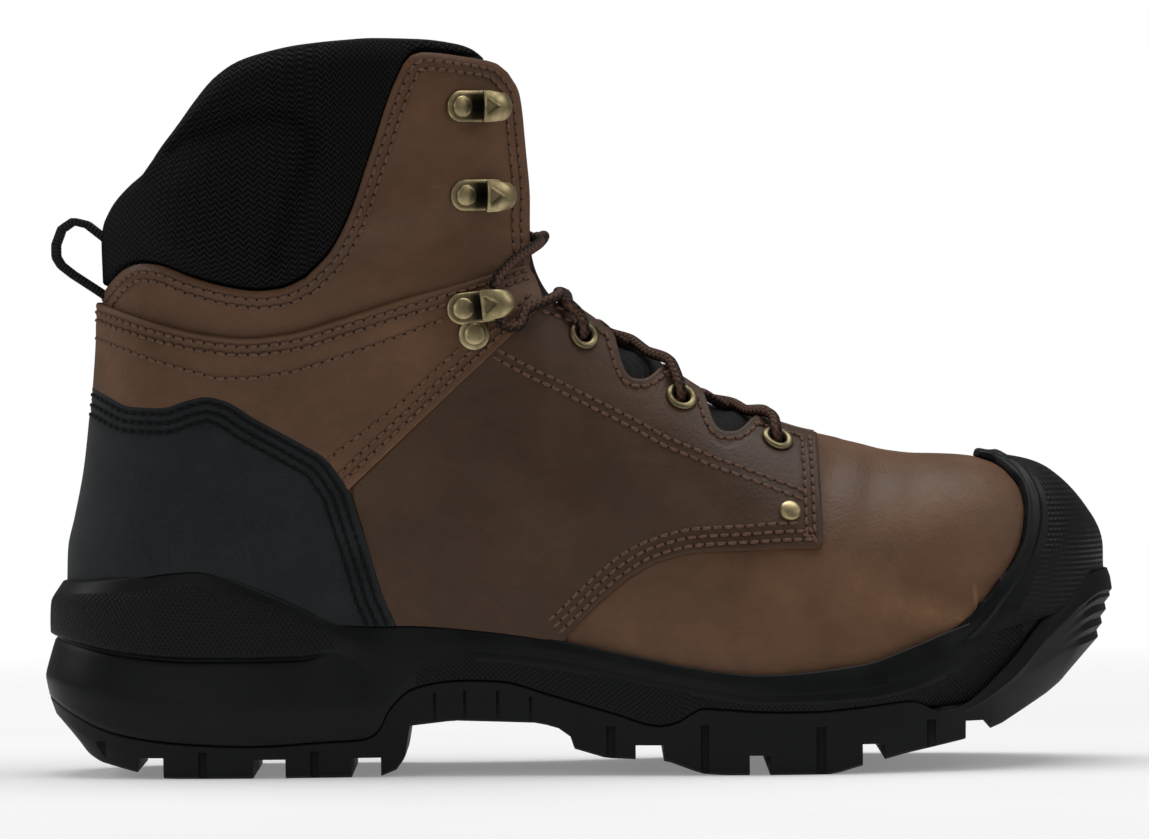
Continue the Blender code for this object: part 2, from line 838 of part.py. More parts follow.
def lay_panel(name, outline, near, far, thickness, look, solver="EXACT"):
    """Panel of the given side view, cut from a sheet that lies on the leather."""
    data = upper.data.copy()
    data.materials.clear()
    data.materials.append(look)
    made = bpy.data.objects.new(name, data)
    boot.objects.link(made)
    shape = bmesh.new()
    shape.from_mesh(data)
    shape.normal_update()
    lifted = [corner.co + corner.normal * PANEL_GAP * MM for corner in shape.verts]
    for corner, place in zip(shape.verts, lifted):
        corner.co = place
    lengths = [x for x, _ in outline]
    heights = [z for _, z in outline]
    far_off = []
    for face in shape.faces:
        x, y, z = face.calc_center_median() / MM
        held = min(lengths) - 14 < x < max(lengths) + 14 and min(heights) - 16 < z < max(heights) + 16
        if not held or not near - 12 < y < far + 12:
            far_off.append(face)
    bmesh.ops.delete(shape, geom=far_off, context="FACES")
    shape.to_mesh(data)
    shape.free()
    thicken(made, thickness, True)
    keep = made.modifiers.new("outline", "BOOLEAN")
    keep.operation = "INTERSECT"
    keep.solver = solver
    keep.object = prism(name + "_outline", outline, near, far)
    return made


ACROSS = 90.0
counter_outline = [(-170.0, sole_rim(-150.0))]
counter_outline += along(np.vectorize(sole_rim), -150.0, -53.6, 9)
counter_outline += along(counter_top, COUNTER_TOP[-1][0], COUNTER_TOP[0][0], 12)
counter_outline += [(-170.0, COUNTER_TOP[0][1])]
heel_counter = lay_panel("heel_counter", counter_outline, -ACROSS, ACROSS, COUNTER_THICKNESS, NUBUCK)

ankle_outline = [(-170.0, COUNTER_TOP[0][1] + 0.5)]
ankle_outline += [(x, z + 0.5) for x, z in along(counter_top, COUNTER_TOP[0][0], COUNTER_TOP[-1][0], 12)]
ankle_outline += along(ankle_top, ANKLE_TOP[-1][0], ANKLE_TOP[0][0], 12)
ankle_outline += [(-170.0, ANKLE_TOP[0][1] + 0.6)]
ankle_panel = lay_panel("ankle_panel", ankle_outline, -ACROSS, ACROSS, ANKLE_THICKNESS, LEATHER)

QUARTER_REAR = (COUNTER_TOP[-1][0] + 0.8, COUNTER_TOP[-1][1] - 0.2)
QUARTER_CORNER = (ANKLE_TOP[-1][0] + 0.5, ANKLE_TOP[-1][1] - 0.4)
quarter_outline = along(np.vectorize(sole_rim), -52.6, QUARTER_LOW[0][0], 7)
quarter_outline += along(quarter_low, QUARTER_LOW[0][0] + 1, QUARTER_LOW[-1][0], 10)
quarter_outline += [(throat_x, throat_z - 0.7) for throat_x, throat_z in along(throat_line, 68.6, -8.0, 11)]
quarter_outline += [QUARTER_CORNER, QUARTER_REAR]
quarter_outer = lay_panel("quarter_outer", quarter_outline, -ACROSS, -5.0, QUARTER_THICKNESS, LEATHER)
quarter_inner = lay_panel("quarter_inner", quarter_outline, 1.5, ACROSS, QUARTER_THICKNESS, LEATHER)

cap_outline = along(np.vectorize(sole_rim), CAP_REAR[0][1] + 5.0, TOE_TIP, 8) + [(170.0, sole_rim(TOE_TIP))]
cap_outline += [(170.0, 130.0), (CAP_REAR[-1][1] - 3.0, 130.0), (CAP_REAR[-1][1] - 3.0, CAP_REAR[-1][0] + 1.5)]
cap_outline += [(float(cap_rear(z)), z) for z in np.linspace(CAP_REAR[-1][0], CAP_REAR[0][0] + 4.4, 11)]
toe_cap = lay_panel("toe_cap", cap_outline, -ACROSS, ACROSS, CAP_THICKNESS, RUBBER, "MANIFOLD")

# Scallops of the throat edge between the eyelets: x, height, radius
SCALLOPS = ((17.9, 120.4, 6.4), (43.8, 104.6, 6.5))
for number, (x, z, radius) in enumerate(SCALLOPS, 1):
    round_outline = []
    for k in range(14):
        angle = 2 * math.pi * (k + 0.5) / 14
        round_outline.append((x + radius * math.cos(angle), z + radius * math.sin(angle)))
    scallop = prism(f"scallop_{number}", round_outline, -ACROSS, ACROSS)
    for leather in (upper, quarter_outer, quarter_inner):
        cut(leather, scallop)


# Lofts through closed sections
def grid_normals(grid):
    """Unit normals of a grid of points, columns first."""
    along_columns = np.gradient(grid, axis=0)
    along_rows = np.gradient(grid, axis=1)
    normal = np.cross(along_columns, along_rows)
    return normal / np.linalg.norm(normal, axis=2, keepdims=True)


def loft(name, sections, look):
    """Solid through closed sections with the same number of points, with flat ends."""
    size = len(sections[0])
    points = [p for section in sections for p in section]
    faces = [tuple(range(size)), tuple(range(len(points) - size, len(points)))]
    for k in range(len(sections) - 1):
        for i in range(size):
            a, b = k * size + i, k * size + (i + 1) % size
            faces.append((a, b, b + size, a + size))
    return make_object(name, points, faces, look)


# Padded collar: inside the leather at its foot, flush with it above the top line
COLLAR_TOP = (
    (-136.0, 163.8),
    (-134.5, 167.1),
    (-132.0, 169.9),
    (-126.6, 174.3),
    (-122.2, 180.4),
    (-115.8, 187.5),
    (-110.4, 193.7),
    (-103.6, 200.2),
    (-96.0, 204.4),
    (-88.0, 206.6),
    (-78.3, 208.6),
    (-64.9, 209.9),
    (-56.2, 210.4),
    (-42.2, 210.2),
    (-31.2, 209.0),
)
COLLAR_FOOT = 13.0
COLLAR_PAD = 8.0
COLLAR_COLUMNS = (
    0.0, 1.8, 5.6, 11.5, 19.0, 28.0, 38.0, 48.0, 57.0, 63.5, 69.5, 75.5, 81.5, 87.5, 95.5, 104.8,
)

collar_top = smooth(COLLAR_TOP)
flap_rear_height = smooth([(x, z) for z, x in FLAP_REAR])
flap_top = smooth(FLAP_TOP)


def leather_top(x):
    if x < FLAP_REAR[0][1]:
        return float(leather_line(x))
    if x < FLAP_REAR[-1][1]:
        return float(flap_rear_height(x))
    return float(flap_top(x))


def collar_column(reach):
    """Side view of one column of the collar, from its foot to its top line."""
    x_top = COLLAR_TOP[0][0] + reach
    z_top = float(collar_top(x_top))
    line = leather_top(x_top)
    z_foot = min(line, 146.0) - COLLAR_FOOT
    slope = leather_top(x_top + 0.5) - leather_top(x_top - 0.5)
    clear = 0.95 * math.sqrt(1 + slope * slope)
    heights = [z_foot + (line - z_foot) * t for t in (0.0, 0.25, 0.5, 0.75)]
    heights += [line + clear, line + clear + 0.7]
    heights += [line + clear + 0.7 + (z_top - line - clear - 0.7) * t for t in (0.35, 0.7, 1.0)]
    bow = 1 - ease(reach / 50)
    return [(x_top + bow * (float(back_edge(z)) - COLLAR_TOP[0][0]), z) for z in heights]


collar_sides = [collar_column(reach) for reach in COLLAR_COLUMNS]
collar_grid = [[on_leather(x, z, LATERAL) for x, z in column] for column in reversed(collar_sides)]
collar_grid += [[on_leather(x, z, MEDIAL) for x, z in column] for column in collar_sides[1:]]
collar_grid = np.array(collar_grid)
collar_out = -grid_normals(collar_grid)
COLLAR_TUCK = WALL + 1.0
COLLAR_DEPTHS = (COLLAR_TUCK, COLLAR_TUCK, COLLAR_TUCK, COLLAR_TUCK, COLLAR_TUCK, 0.4, 0.0, 0.5, 2.6)
collar_sections = []
for places, outward in zip(collar_grid, collar_out):
    outer = [p - n * depth for p, n, depth in zip(places, outward, COLLAR_DEPTHS)]
    inner = [p - n * COLLAR_PAD for p, n in zip(places, outward)]
    inner[0] = places[0] - outward[0] * (COLLAR_PAD - 2.4)
    inner[-1] = places[-1] - outward[-1] * (COLLAR_PAD - 2.0)
    collar_sections.append(outer + [inner[i] for i in (8, 7, 5, 3, 1, 0)])
collar = loft("collar", collar_sections, MESH)

# Tongue under the throat: place on the ridge line, half width, extra depth in the middle
TONGUE = (
    (92.0, 16.0, 1.2),
    (78.0, 20.0, 1.4),
    (64.0, 23.0, 1.8),
    (50.0, 25.0, 2.2),
    (37.0, 26.0, 2.4),
    (25.0, 26.5, 2.4),
    (14.0, 26.5, 2.4),
    (5.0, 25.6, 2.4),
    (-2.0, 25.0, 2.4),
    (-5.6, 25.0, 2.4),
    (-7.6, 25.4, 2.2),
    (-8.8, 26.0, 2.0),
    (-9.7, 26.0, 2.0),
    (-11.2, 26.0, 2.0),
)
TONGUE_SPREAD = (-1.0, -0.74, -0.4, 0.0, 0.4, 0.74, 1.0)
TONGUE_GAP = 1.5
TONGUE_THICKNESS = 3.2


def tongue_row(x, half):
    """Points of the leather's form across the throat at one place of the ridge line."""
    z = float(ridge(x))
    ahead = np.array((1.0, float(ridge(x + 0.5) - ridge(x - 0.5))))
    inward = np.array((ahead[1], -1.0)) / np.hypot(*ahead)
    row = []
    for spread in TONGUE_SPREAD:
        near, far = 0.0, 45.0
        for _ in range(40):
            middle = 0.5 * (near + far)
            px, pz = np.array((x, z)) + inward * middle
            if float(half_width(px, pz)) < abs(spread) * half:
                near = middle
            else:
                far = middle
        px, pz = np.array((x, z)) + inward * far
        row.append((px, float(centre(px)) + spread * half, pz))
    return row


tongue_grid = np.array([tongue_row(x, half) for x, half, _ in TONGUE])
tongue_out = -grid_normals(tongue_grid)
tongue_sections = []
for (_, _, sink), places, outward in zip(TONGUE, tongue_grid, tongue_out):
    outer, inner = [], []
    for spread, p, n in zip(TONGUE_SPREAD, places, outward):
        depth = WALL + TONGUE_GAP + sink * (1 - spread * spread)
        outer.append(p - n * depth)
        inner.append(p - n * (depth + TONGUE_THICKNESS * (1 - 0.5 * spread**4)))
    tongue_sections.append(outer + inner[::-1])
tongue = loft("tongue", tongue_sections, MESH)


# Hardware, each piece in the frame of the leather where it sits
EYELETS = ((1.3, 125.0), (29.5, 106.6), (57.0, 94.1))
EYELET_BORE = 2.5
EYELET_BARREL = 3.0
EYELET_FLANGE = 4.2
EYELET_HOLE = 3.5
RIVET_PLACE = (60.2, 74.0)
RIVET_RADIUS = 3.2
TURN = 8
# Hooks: rivet x, height, direction of the hook in degrees, seat above the leather, second rivet along and across
HOOKS = {
    "hook_top": (-32.5, 191.6, 0.0, 0.4, None),
    "hook_middle": (-31.7, 166.2, 0.0, 0.4, None),
    "hook_ankle": (-33.2, 133.5, 6.0, PANEL_GAP + ANKLE_THICKNESS + 0.4, (2.0, -7.0)),
}
HOOK_WIDTH = 8.4
HOOK_RIVET = 2.9
# Side of a hook: along the plate, height above the seat
HOOK_SIDE = (
    (-4.6, 0.0),
    (13.2, 0.0),
    (14.6, 1.6),
    (14.6, 5.0),
    (12.6, 6.9),
    (8.4, 7.3),
    (5.6, 6.6),
    (5.6, 5.8),
    (8.4, 6.2),
    (11.6, 5.7),
    (12.9, 4.2),
    (12.8, 1.8),
    (12.2, 1.1),
    (-4.6, 1.1),
)


class Seat:
    """Frame on the leather: u forward along it, v up along it, n outwards."""

    def __init__(self, x, z, side, angle=0.0):
        self.place = on_leather(x, z, side)
        forward = on_leather(x + 2, z, side) - on_leather(x - 2, z, side)
        upward = on_leather(x, z + 2, side) - on_leather(x, z - 2, side)
        self.n = np.cross(forward, upward) * -side
        self.n /= np.linalg.norm(self.n)
        u = forward / np.linalg.norm(forward)
        v = np.cross(self.n, u) * -side
        turn = math.radians(angle)
        self.u = u * math.cos(turn) + v * math.sin(turn)
        self.v = v * math.cos(turn) - u * math.sin(turn)

    def at(self, u, v, n):
        return self.place + self.u * u + self.v * v + self.n * n


def turned(name, seat, profile, look, u=0.0, v=0.0):
    """Ring or button: profile of radius and height turned about the seat's normal."""
    size = len(profile)
    points = []
    for k in range(TURN):
        angle = 2 * math.pi * k / TURN
        for radius, height in profile:
            points.append(seat.at(u + radius * math.cos(angle), v + radius * math.sin(angle), height))
    faces = []
    for k in range(TURN):
        for i in range(size):
            j = (i + 1) % size
            after = (k + 1) % TURN
            faces.append((k * size + i, k * size + j, after * size + j, after * size + i))
    return make_object(name, points, faces, look)


def button(name, seat, radius, low, high, look, u=0.0, v=0.0):
    """Low dome with a closed foot."""
    levels = ((radius, low), (radius, low + 0.55 * (high - low)), (0.55 * radius, high))
    rings = []
    for r, height in levels:
        angles = [2 * math.pi * k / TURN for k in range(TURN)]
        rings.append([seat.at(u + r * math.cos(a), v + r * math.sin(a), height) for a in angles])
    return loft(name, rings, look)


def join(target, other):
    modifier = target.modifiers.new(other.name, "BOOLEAN")
    modifier.operation = "UNION"
    modifier.solver = "EXACT"
    modifier.object = as_cutter(other)


SURFACE = PANEL_GAP + QUARTER_THICKNESS
EYELET_PROFILE = (
    (EYELET_BORE, -WALL - 0.9),
    (EYELET_BARREL, -WALL - 0.9),
    (EYELET_BARREL, SURFACE + 0.4),
    (EYELET_FLANGE, SURFACE + 0.4),
    (EYELET_FLANGE - 0.5, SURFACE + 1.3),
    (EYELET_BORE, SURFACE + 1.1),
)
for side, word, panel in ((LATERAL, "outer", quarter_outer), (MEDIAL, "inner", quarter_inner)):
    for number, (x, z) in enumerate(EYELETS, 1):
        seat = Seat(x, z, side)
        turned(f"eyelet_{word}_{number}", seat, EYELET_PROFILE, BRASS)
        hole = as_cutter(button(f"eyelet_hole_{word}_{number}", seat, EYELET_HOLE, -9.0, 18.0, BRASS))
        cut(upper, hole)
        cut(panel, hole)
    seat = Seat(*RIVET_PLACE, side)
    button(f"rivet_{word}", seat, RIVET_RADIUS, SURFACE + 0.4, SURFACE + 2.2, BRASS)
    for name, (x, z, angle, rise, second) in HOOKS.items():
        seat = Seat(x, z, side, angle)
        ends = []
        for v in (-0.5, 0.5):
            ends.append([seat.at(u, v * HOOK_WIDTH * (1.0 if n < 1.2 else 0.8), rise + n) for u, n in HOOK_SIDE])
        hook = loft(f"{name}_{word}", ends, BRASS)
        join(hook, button(f"{name}_{word}_head", seat, HOOK_RIVET, rise + 0.5, rise + 2.4, BRASS))
        if second:
            u, v = second
            foot = button(f"{name}_{word}_foot", seat, HOOK_RIVET + 1.2, rise + 0.15, rise + 0.95, BRASS, u, v * 0.9)
            join(hook, foot)
            join(hook, button(f"{name}_{word}_stud", seat, HOOK_RIVET, rise + 0.5, rise + 2.4, BRASS, u, v))

# Pull loop of webbing at the back: x, height of its middle line
PULL_LOOP = (
    (-138.1, 156.4),
    (-141.6, 159.2),
    (-145.6, 160.2),
    (-149.0, 157.9),
    (-150.7, 153.4),
    (-150.7, 149.9),
    (-149.2, 147.4),
    (-145.8, 144.7),
    (-138.3, 139.7),
)
LOOP_WIDTH = 15.0
LOOP_THICKNESS = 1.6
loop_line = np.array(PULL_LOOP)
loop_run = np.gradient(loop_line, axis=0)
loop_run /= np.linalg.norm(loop_run, axis=1, keepdims=True)
loop_sections = []
for (x, z), (dx, dz) in zip(loop_line, loop_run):
    middle = float(centre(-138))
    section = []
    for across, through in ((-1, -1), (1, -1), (1, 1), (-1, 1)):
        shift = 0.5 * LOOP_THICKNESS * through
        section.append((x - dz * shift, middle + 0.5 * LOOP_WIDTH * across, z + dx * shift))
    loop_sections.append(section)
pull_loop = loft("pull_loop", loop_sections, MESH)

# Lace: crossings over the tongue, and the turns round the ankle hooks
LACE_RADIUS = 1.65
LACE_SIDES = 5
LACE_STEPS = 2


def form_point(x, y, rise):
    """Point across the throat at a place of the ridge line, off the leather's form by rise."""
    z = float(ridge(x))
    slope = float(ridge(x + 0.5) - ridge(x - 0.5))
    inward = np.array((slope, -1.0)) / math.hypot(1.0, slope)
    near, far = 0.0, 45.0
    for _ in range(40):
        middle = 0.5 * (near + far)
        px, pz = np.array((x, z)) + inward * middle
        if float(half_width(px, pz)) < abs(y):
            near = middle
        else:
            far = middle
    px, pz = np.array((x, z)) + inward * (far - rise)
    return np.array((px, float(centre(px)) + y, pz))


def edge_half(x):
    return float(half_width(x, throat_line(x)))


def eyelet_strand(side, eyelet, on_way, edge, opening, middle, far_way, far_edge):
    """Anchors of a strand from an eyelet over the throat edge and across to the other side's edge."""
    other = edge_half(far_edge)
    return [
        Seat(*eyelet, side).at(0, 0, 5.2),
        Seat(*on_way, side).at(0, 0, 5.0),
        Seat(edge, float(throat_line(edge)) - 0.2, side).at(0, 0, 4.3),
        form_point(opening, side * 0.62 * edge_half(edge), 1.4),
        form_point(middle, 0.0, -3.3),
        form_point(far_way, -side * 0.5 * other, -2.7),
        form_point(far_edge, -side * (other - 4.5), -2.3),
    ]


def hook_strand(side):
    """Anchors of a strand from the top eyelet across, round the other side's ankle hook and back over the tongue."""
    x, z, angle, rise, _ = HOOKS["hook_ankle"]
    hook = Seat(x, z, -side, angle)
    inside = rise + 3.4
    return [
        Seat(*EYELETS[0], side).at(0, 0, 5.2),
        Seat(-1.0, 130.4, side).at(0, 0, 5.3),
        Seat(-4.2, 134.6, side).at(0, 0, 4.4),
        form_point(-2.2, side * 13.0, 1.2),
        form_point(-3.8, 0.0, -3.2),
        form_point(-4.6, -side * 13.0, 1.0),
        Seat(-9.8, 137.2, -side).at(0, 0, 5.2),
        Seat(-15.6, 131.6, -side).at(0, 0, 5.6),
        hook.at(15.4, -7.0, inside),
        hook.at(10.8, -6.6, inside),
        hook.at(9.2, -2.4, inside),
        hook.at(9.0, 2.4, inside),
        hook.at(9.6, 6.8, inside),
        Seat(-20.6, 147.0, -side).at(0, 0, 4.9),
        Seat(-14.4, 150.6, -side).at(0, 0, 2.7),
        form_point(-6.9, -side * 12.5, 0.6),
        form_point(-7.2, 0.0, -3.0),
        form_point(-7.5, side * 9.0, -2.6),
    ]


def flowing(anchors):
    """Points of a smooth curve through anchors."""
    anchors = np.array(anchors)
    tangent = np.gradient(anchors, axis=0)
    points = []
    for k in range(len(anchors) - 1):
        for t in np.arange(LACE_STEPS) / LACE_STEPS:
            low = anchors[k] * (1 + 2 * t) * (1 - t) ** 2 + tangent[k] * t * (1 - t) ** 2
            points.append(low + anchors[k + 1] * t * t * (3 - 2 * t) + tangent[k + 1] * t * t * (t - 1))
    return np.array(points + [anchors[-1]])


def strand(name, anchors):
    """Tube along a smooth curve through anchors."""
    path = flowing(anchors)
    run = np.gradient(path, axis=0)
    run /= np.linalg.norm(run, axis=1, keepdims=True)
    across = np.cross(run[0], (0.31, 0.17, 0.93))
    rings = []
    for place, ahead in zip(path, run):
        across = across - ahead * np.dot(across, ahead)
        across /= np.linalg.norm(across)
        above = np.cross(ahead, across)
        turns = [2 * math.pi * k / LACE_SIDES for k in range(LACE_SIDES)]
        rings.append([place + LACE_RADIUS * (math.cos(a) * across + math.sin(a) * above) for a in turns])
    return loft(name, rings, CORD)


CROSSINGS = (
    (EYELETS[2], (55.0, 98.2), 53.2, 51.0, 46.5, 42.0, 38.6),
    (EYELETS[1], (27.0, 112.0), 25.2, 23.0, 17.6, 12.5, 9.0),
)
for number, crossing in enumerate(CROSSINGS, 1):
    lace = strand(f"lace_cross_{number}", eyelet_strand(LATERAL, *crossing))
    join(lace, strand(f"lace_cross_{number}_back", eyelet_strand(MEDIAL, *crossing)))
lace = strand("lace_cross_3", hook_strand(LATERAL))
join(lace, strand("lace_cross_3_back", hook_strand(MEDIAL)))
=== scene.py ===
"""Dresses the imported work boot: leather, rubber, mesh, brass, stitches and lace in the boot's own frame."""

import math

import bmesh
import bpy
import numpy as np
from bpy.props import FloatProperty, FloatVectorProperty, PointerProperty

from mathutils import Matrix, Vector


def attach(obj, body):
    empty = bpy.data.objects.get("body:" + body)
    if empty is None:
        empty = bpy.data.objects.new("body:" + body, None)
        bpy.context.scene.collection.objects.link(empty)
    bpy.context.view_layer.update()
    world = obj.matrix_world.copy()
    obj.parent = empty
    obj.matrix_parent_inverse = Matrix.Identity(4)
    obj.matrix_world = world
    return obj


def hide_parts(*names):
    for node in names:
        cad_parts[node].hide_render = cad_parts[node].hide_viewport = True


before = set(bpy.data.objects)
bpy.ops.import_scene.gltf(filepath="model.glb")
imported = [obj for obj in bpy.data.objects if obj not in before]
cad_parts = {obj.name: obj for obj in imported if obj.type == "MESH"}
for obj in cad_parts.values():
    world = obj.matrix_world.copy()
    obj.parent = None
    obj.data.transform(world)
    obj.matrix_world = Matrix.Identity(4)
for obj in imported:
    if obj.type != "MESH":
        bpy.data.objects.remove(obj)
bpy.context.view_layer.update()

bl_info = {
    "name": "Work boot",
    "version": (1, 0, 0),
    "blender": (4, 5, 0),
    "location": "View3D > Sidebar > Work boot",
    "description": "Builds a lugged work boot with a rubber toe cap, padded collar and laced throat",
    "category": "Object",
}

MM = 0.001
BODY = "root"

# Main sizes
HALF_LENGTH = 155.2
TOE_TIP = 148.5
TOE_RADIUS = 41.0
HEEL_RADIUS = 38.0
WALL = 2.0
PANEL_GAP = 0.4
HEEL_ROUND = 46.0
SHAFT_MIDDLE = -75.0
HEEL_POWER = 2.1
FRONT_POWER = 2.0
# Leather that draws back under the toe: amount, below which height, from which x, over which length
TOE_TUCK = 0.8
TOE_TUCK_BELOW = 46.0
TOE_TUCK_FROM = 100.0
TOE_TUCK_OVER = 40.0
# Foot that passes into the shaft: from which x, over which length, lean of the border, height where it has no shift
FOOT_FROM = -40.0
FOOT_OVER = 80.0
FOOT_LEAN = 0.35
FOOT_LEVEL = 90.0
# Outer and inner side, as the sign of y
LATERAL = -1
MEDIAL = 1
SIDES = ((LATERAL, "outer"), (MEDIAL, "inner"))
# Place of the back above the heel counter
BACK_X = -138.0

# Sole in plan: x, half width, centre line
PLAN = (
    (-140, 30.0, -2.4), (-120, 38.8, -2.4), (-100, 42.2, -2.2), (-75, 42.0, -2.4), (-50, 40.4, -3.2),
    (-20, 40.4, -3.8), (0, 43.0, -3.4), (25, 49.4, -2.2), (45, 54.6, -1.2), (60, 56.8, 0.0), (72, 56.8, 1.0),
    (85, 54.8, 2.4), (100, 51.4, 4.0), (120, 44.8, 6.0), (135, 36.2, 7.2), (147, 24.8, 8.0),
)

# Leather over the foot: x, half width at the feather edge, roundness of the section
FOOT = (
    (-60, 38.0, 2.2), (-30, 38.0, 2.1), (0, 39.4, 2.0), (25, 45.4, 2.0), (45, 50.4, 2.0), (60, 52.4, 2.05),
    (72, 52.2, 2.1), (85, 50.4, 2.2), (100, 47.2, 2.4), (120, 40.4, 2.7), (135, 30.6, 2.8), (144, 19.0, 2.8),
)

# Leather shaft: height, half width, back edge
SHAFT = (
    (24, 35.6, -145.4), (40, 36.8, -146.6), (56, 37.4, -146.3), (65, 37.4, -146.0), (74, 37.2, -144.0),
    (88, 36.8, -141.2), (101, 36.6, -139.6), (114, 37.0, -138.3), (128, 38.4, -137.4), (140, 40.0, -137.3),
    (154, 42.6, -137.6), (164, 44.4, -136.0), (180, 46.6, -134.0), (212, 49.6, -132.0),
)

# Ridge line of the leather over the throat, vamp and toe: x, height
RIDGE = (
    (-20, 250.0), (-13, 214.0), (-10, 185.0), (-8, 158.0), (-5.5, 146.5), (0, 139.2), (6, 135.2), (11.4, 131.2),
    (26.6, 121.2), (40, 112.2), (52, 105.6), (60, 101.6), (66, 98.8), (75, 94.8), (84, 92.2), (97, 90.0),
    (107, 89.8), (115, 89.0), (121, 87.2), (129, 83.6), (137, 78.0), (143, 71.0), (147, 63.5), (148.5, 56.0),
)

# Recess floor of the midsole: x, height
FLOOR = (
    (-150, 32.0), (-100, 31.5), (-60, 31.5), (-30, 30.5), (-5, 27.0), (20, 23.4), (45, 21.6), (75, 21.8),
    (100, 23.4), (120, 26.6), (132, 30.4), (142, 34.6), (150, 39.0),
)

# Top line of the leather behind the flap, then the throat edge: x, height
LEATHER_LINE = (
    (-137.3, 138.8), (-134.0, 142.6), (-129.5, 146.2), (-125.2, 147.6), (-120.8, 147.2), (-109.2, 143.1),
    (-97.7, 140.1), (-91.3, 139.3), (-84.6, 139.9), (-77.3, 143.0),
)
THROAT_LINE = (
    (-10.7, 137.0), (-8.0, 135.2), (-2.1, 134.6), (3.3, 131.5), (8.6, 127.5), (24.1, 117.3), (37.4, 108.4),
    (50.1, 102.0), (58.5, 99.2), (65.7, 96.9), (71.0, 95.6), (75.0, 94.8),
)

# Front flap: height and its rear edge, height and its front edge, x and its top edge
FLAP_REAR = ((143.0, -77.3), (150.5, -69.9), (159.7, -64.9), (178.6, -58.0), (195.9, -52.0), (203.6, -48.4))
FLAP_FRONT = ((137.0, -10.7), (146.7, -13.3), (159.4, -13.2), (185.0, -14.6), (196.1, -15.9), (201.5, -19.0))
FLAP_TOP = ((-48.4, 203.6), (-45.7, 206.2), (-42.0, 207.0), (-31.2, 205.8), (-22.5, 204.1), (-19.0, 201.5))

# Columns of the leather mesh, by the place of their top end
COLUMNS_BACK = (-137.3, -136.5, -134.0, -129.4, -122.5, -112.5, -100.5, -88.5)
COLUMNS_TOE = (75.0, 85.0, 96.0, 106.5, 116.0, 124.5, 131.5, 137.5, 142.2, 145.6, 147.7, 148.5)
FOOT_ROWS = 44
FLAP_ROWS = 36
FLAP_COLUMNS = 50
THROAT_COLUMNS = 116
# Shift of a column's lower end, by the place of its top end
COLUMN_SHIFT = ((-137.3, -8.4), (-110, -7.0), (-77.3, -4.0), (-10.7, 6.0), (40, 3.0), (75, 0.0), (148.5, 0.0))

# Floor side of the outsole: x, height
GROUND = (
    (-156, 17.0), (-149.5, 12.8), (-141.9, 6.4), (-138.4, 4.5), (-128.5, 2.0), (-119, 0.0), (-58, 0.0), (-53, 2.0),
    (-50.5, 5.4), (-49, 14.5), (-36.4, 15.9), (-11.9, 15.0), (-3.6, 12.6), (-2, 7.6), (7, 4.9), (24, 4.2),
    (34, 0.5), (40, 0.0), (72, 0.0), (79, 2.0), (92.6, 5.4), (110, 8.9), (121, 12.9), (134.6, 20.6), (143.4, 26.3),
    (151, 35.2),
)

# Line between outsole and midsole on the side wall: x, height
PARTING = (
    (-155, 23.0), (-147.6, 18.6), (-138, 14.1), (-128, 11.7), (-114, 10.1), (-94, 9.3), (-72, 10.4), (-62.5, 10.9),
    (-58, 13.2), (-55, 19.0), (-48.4, 25.1), (-41, 27.0), (-34, 27.6), (-23, 27.2), (-9.5, 23.4), (9.6, 17.7),
    (22, 14.2), (28, 15.6), (34, 19.2), (53, 18.1), (66, 18.0), (80, 19.0), (95, 20.4), (103, 17.4), (108, 18.4),
    (123, 29.4), (136.6, 44.7), (145, 52.0), (152, 56.0), (156, 56.2),
)

# Tray floor of the outsole at the toe, where the midsole lies on it: x, height
TOE_TRAY = (
    (90, 19.4), (96, 18.8), (103, 16.8), (112, 17.6), (122, 19.8), (134, 25.0), (143, 30.0), (156, 35.6),
)

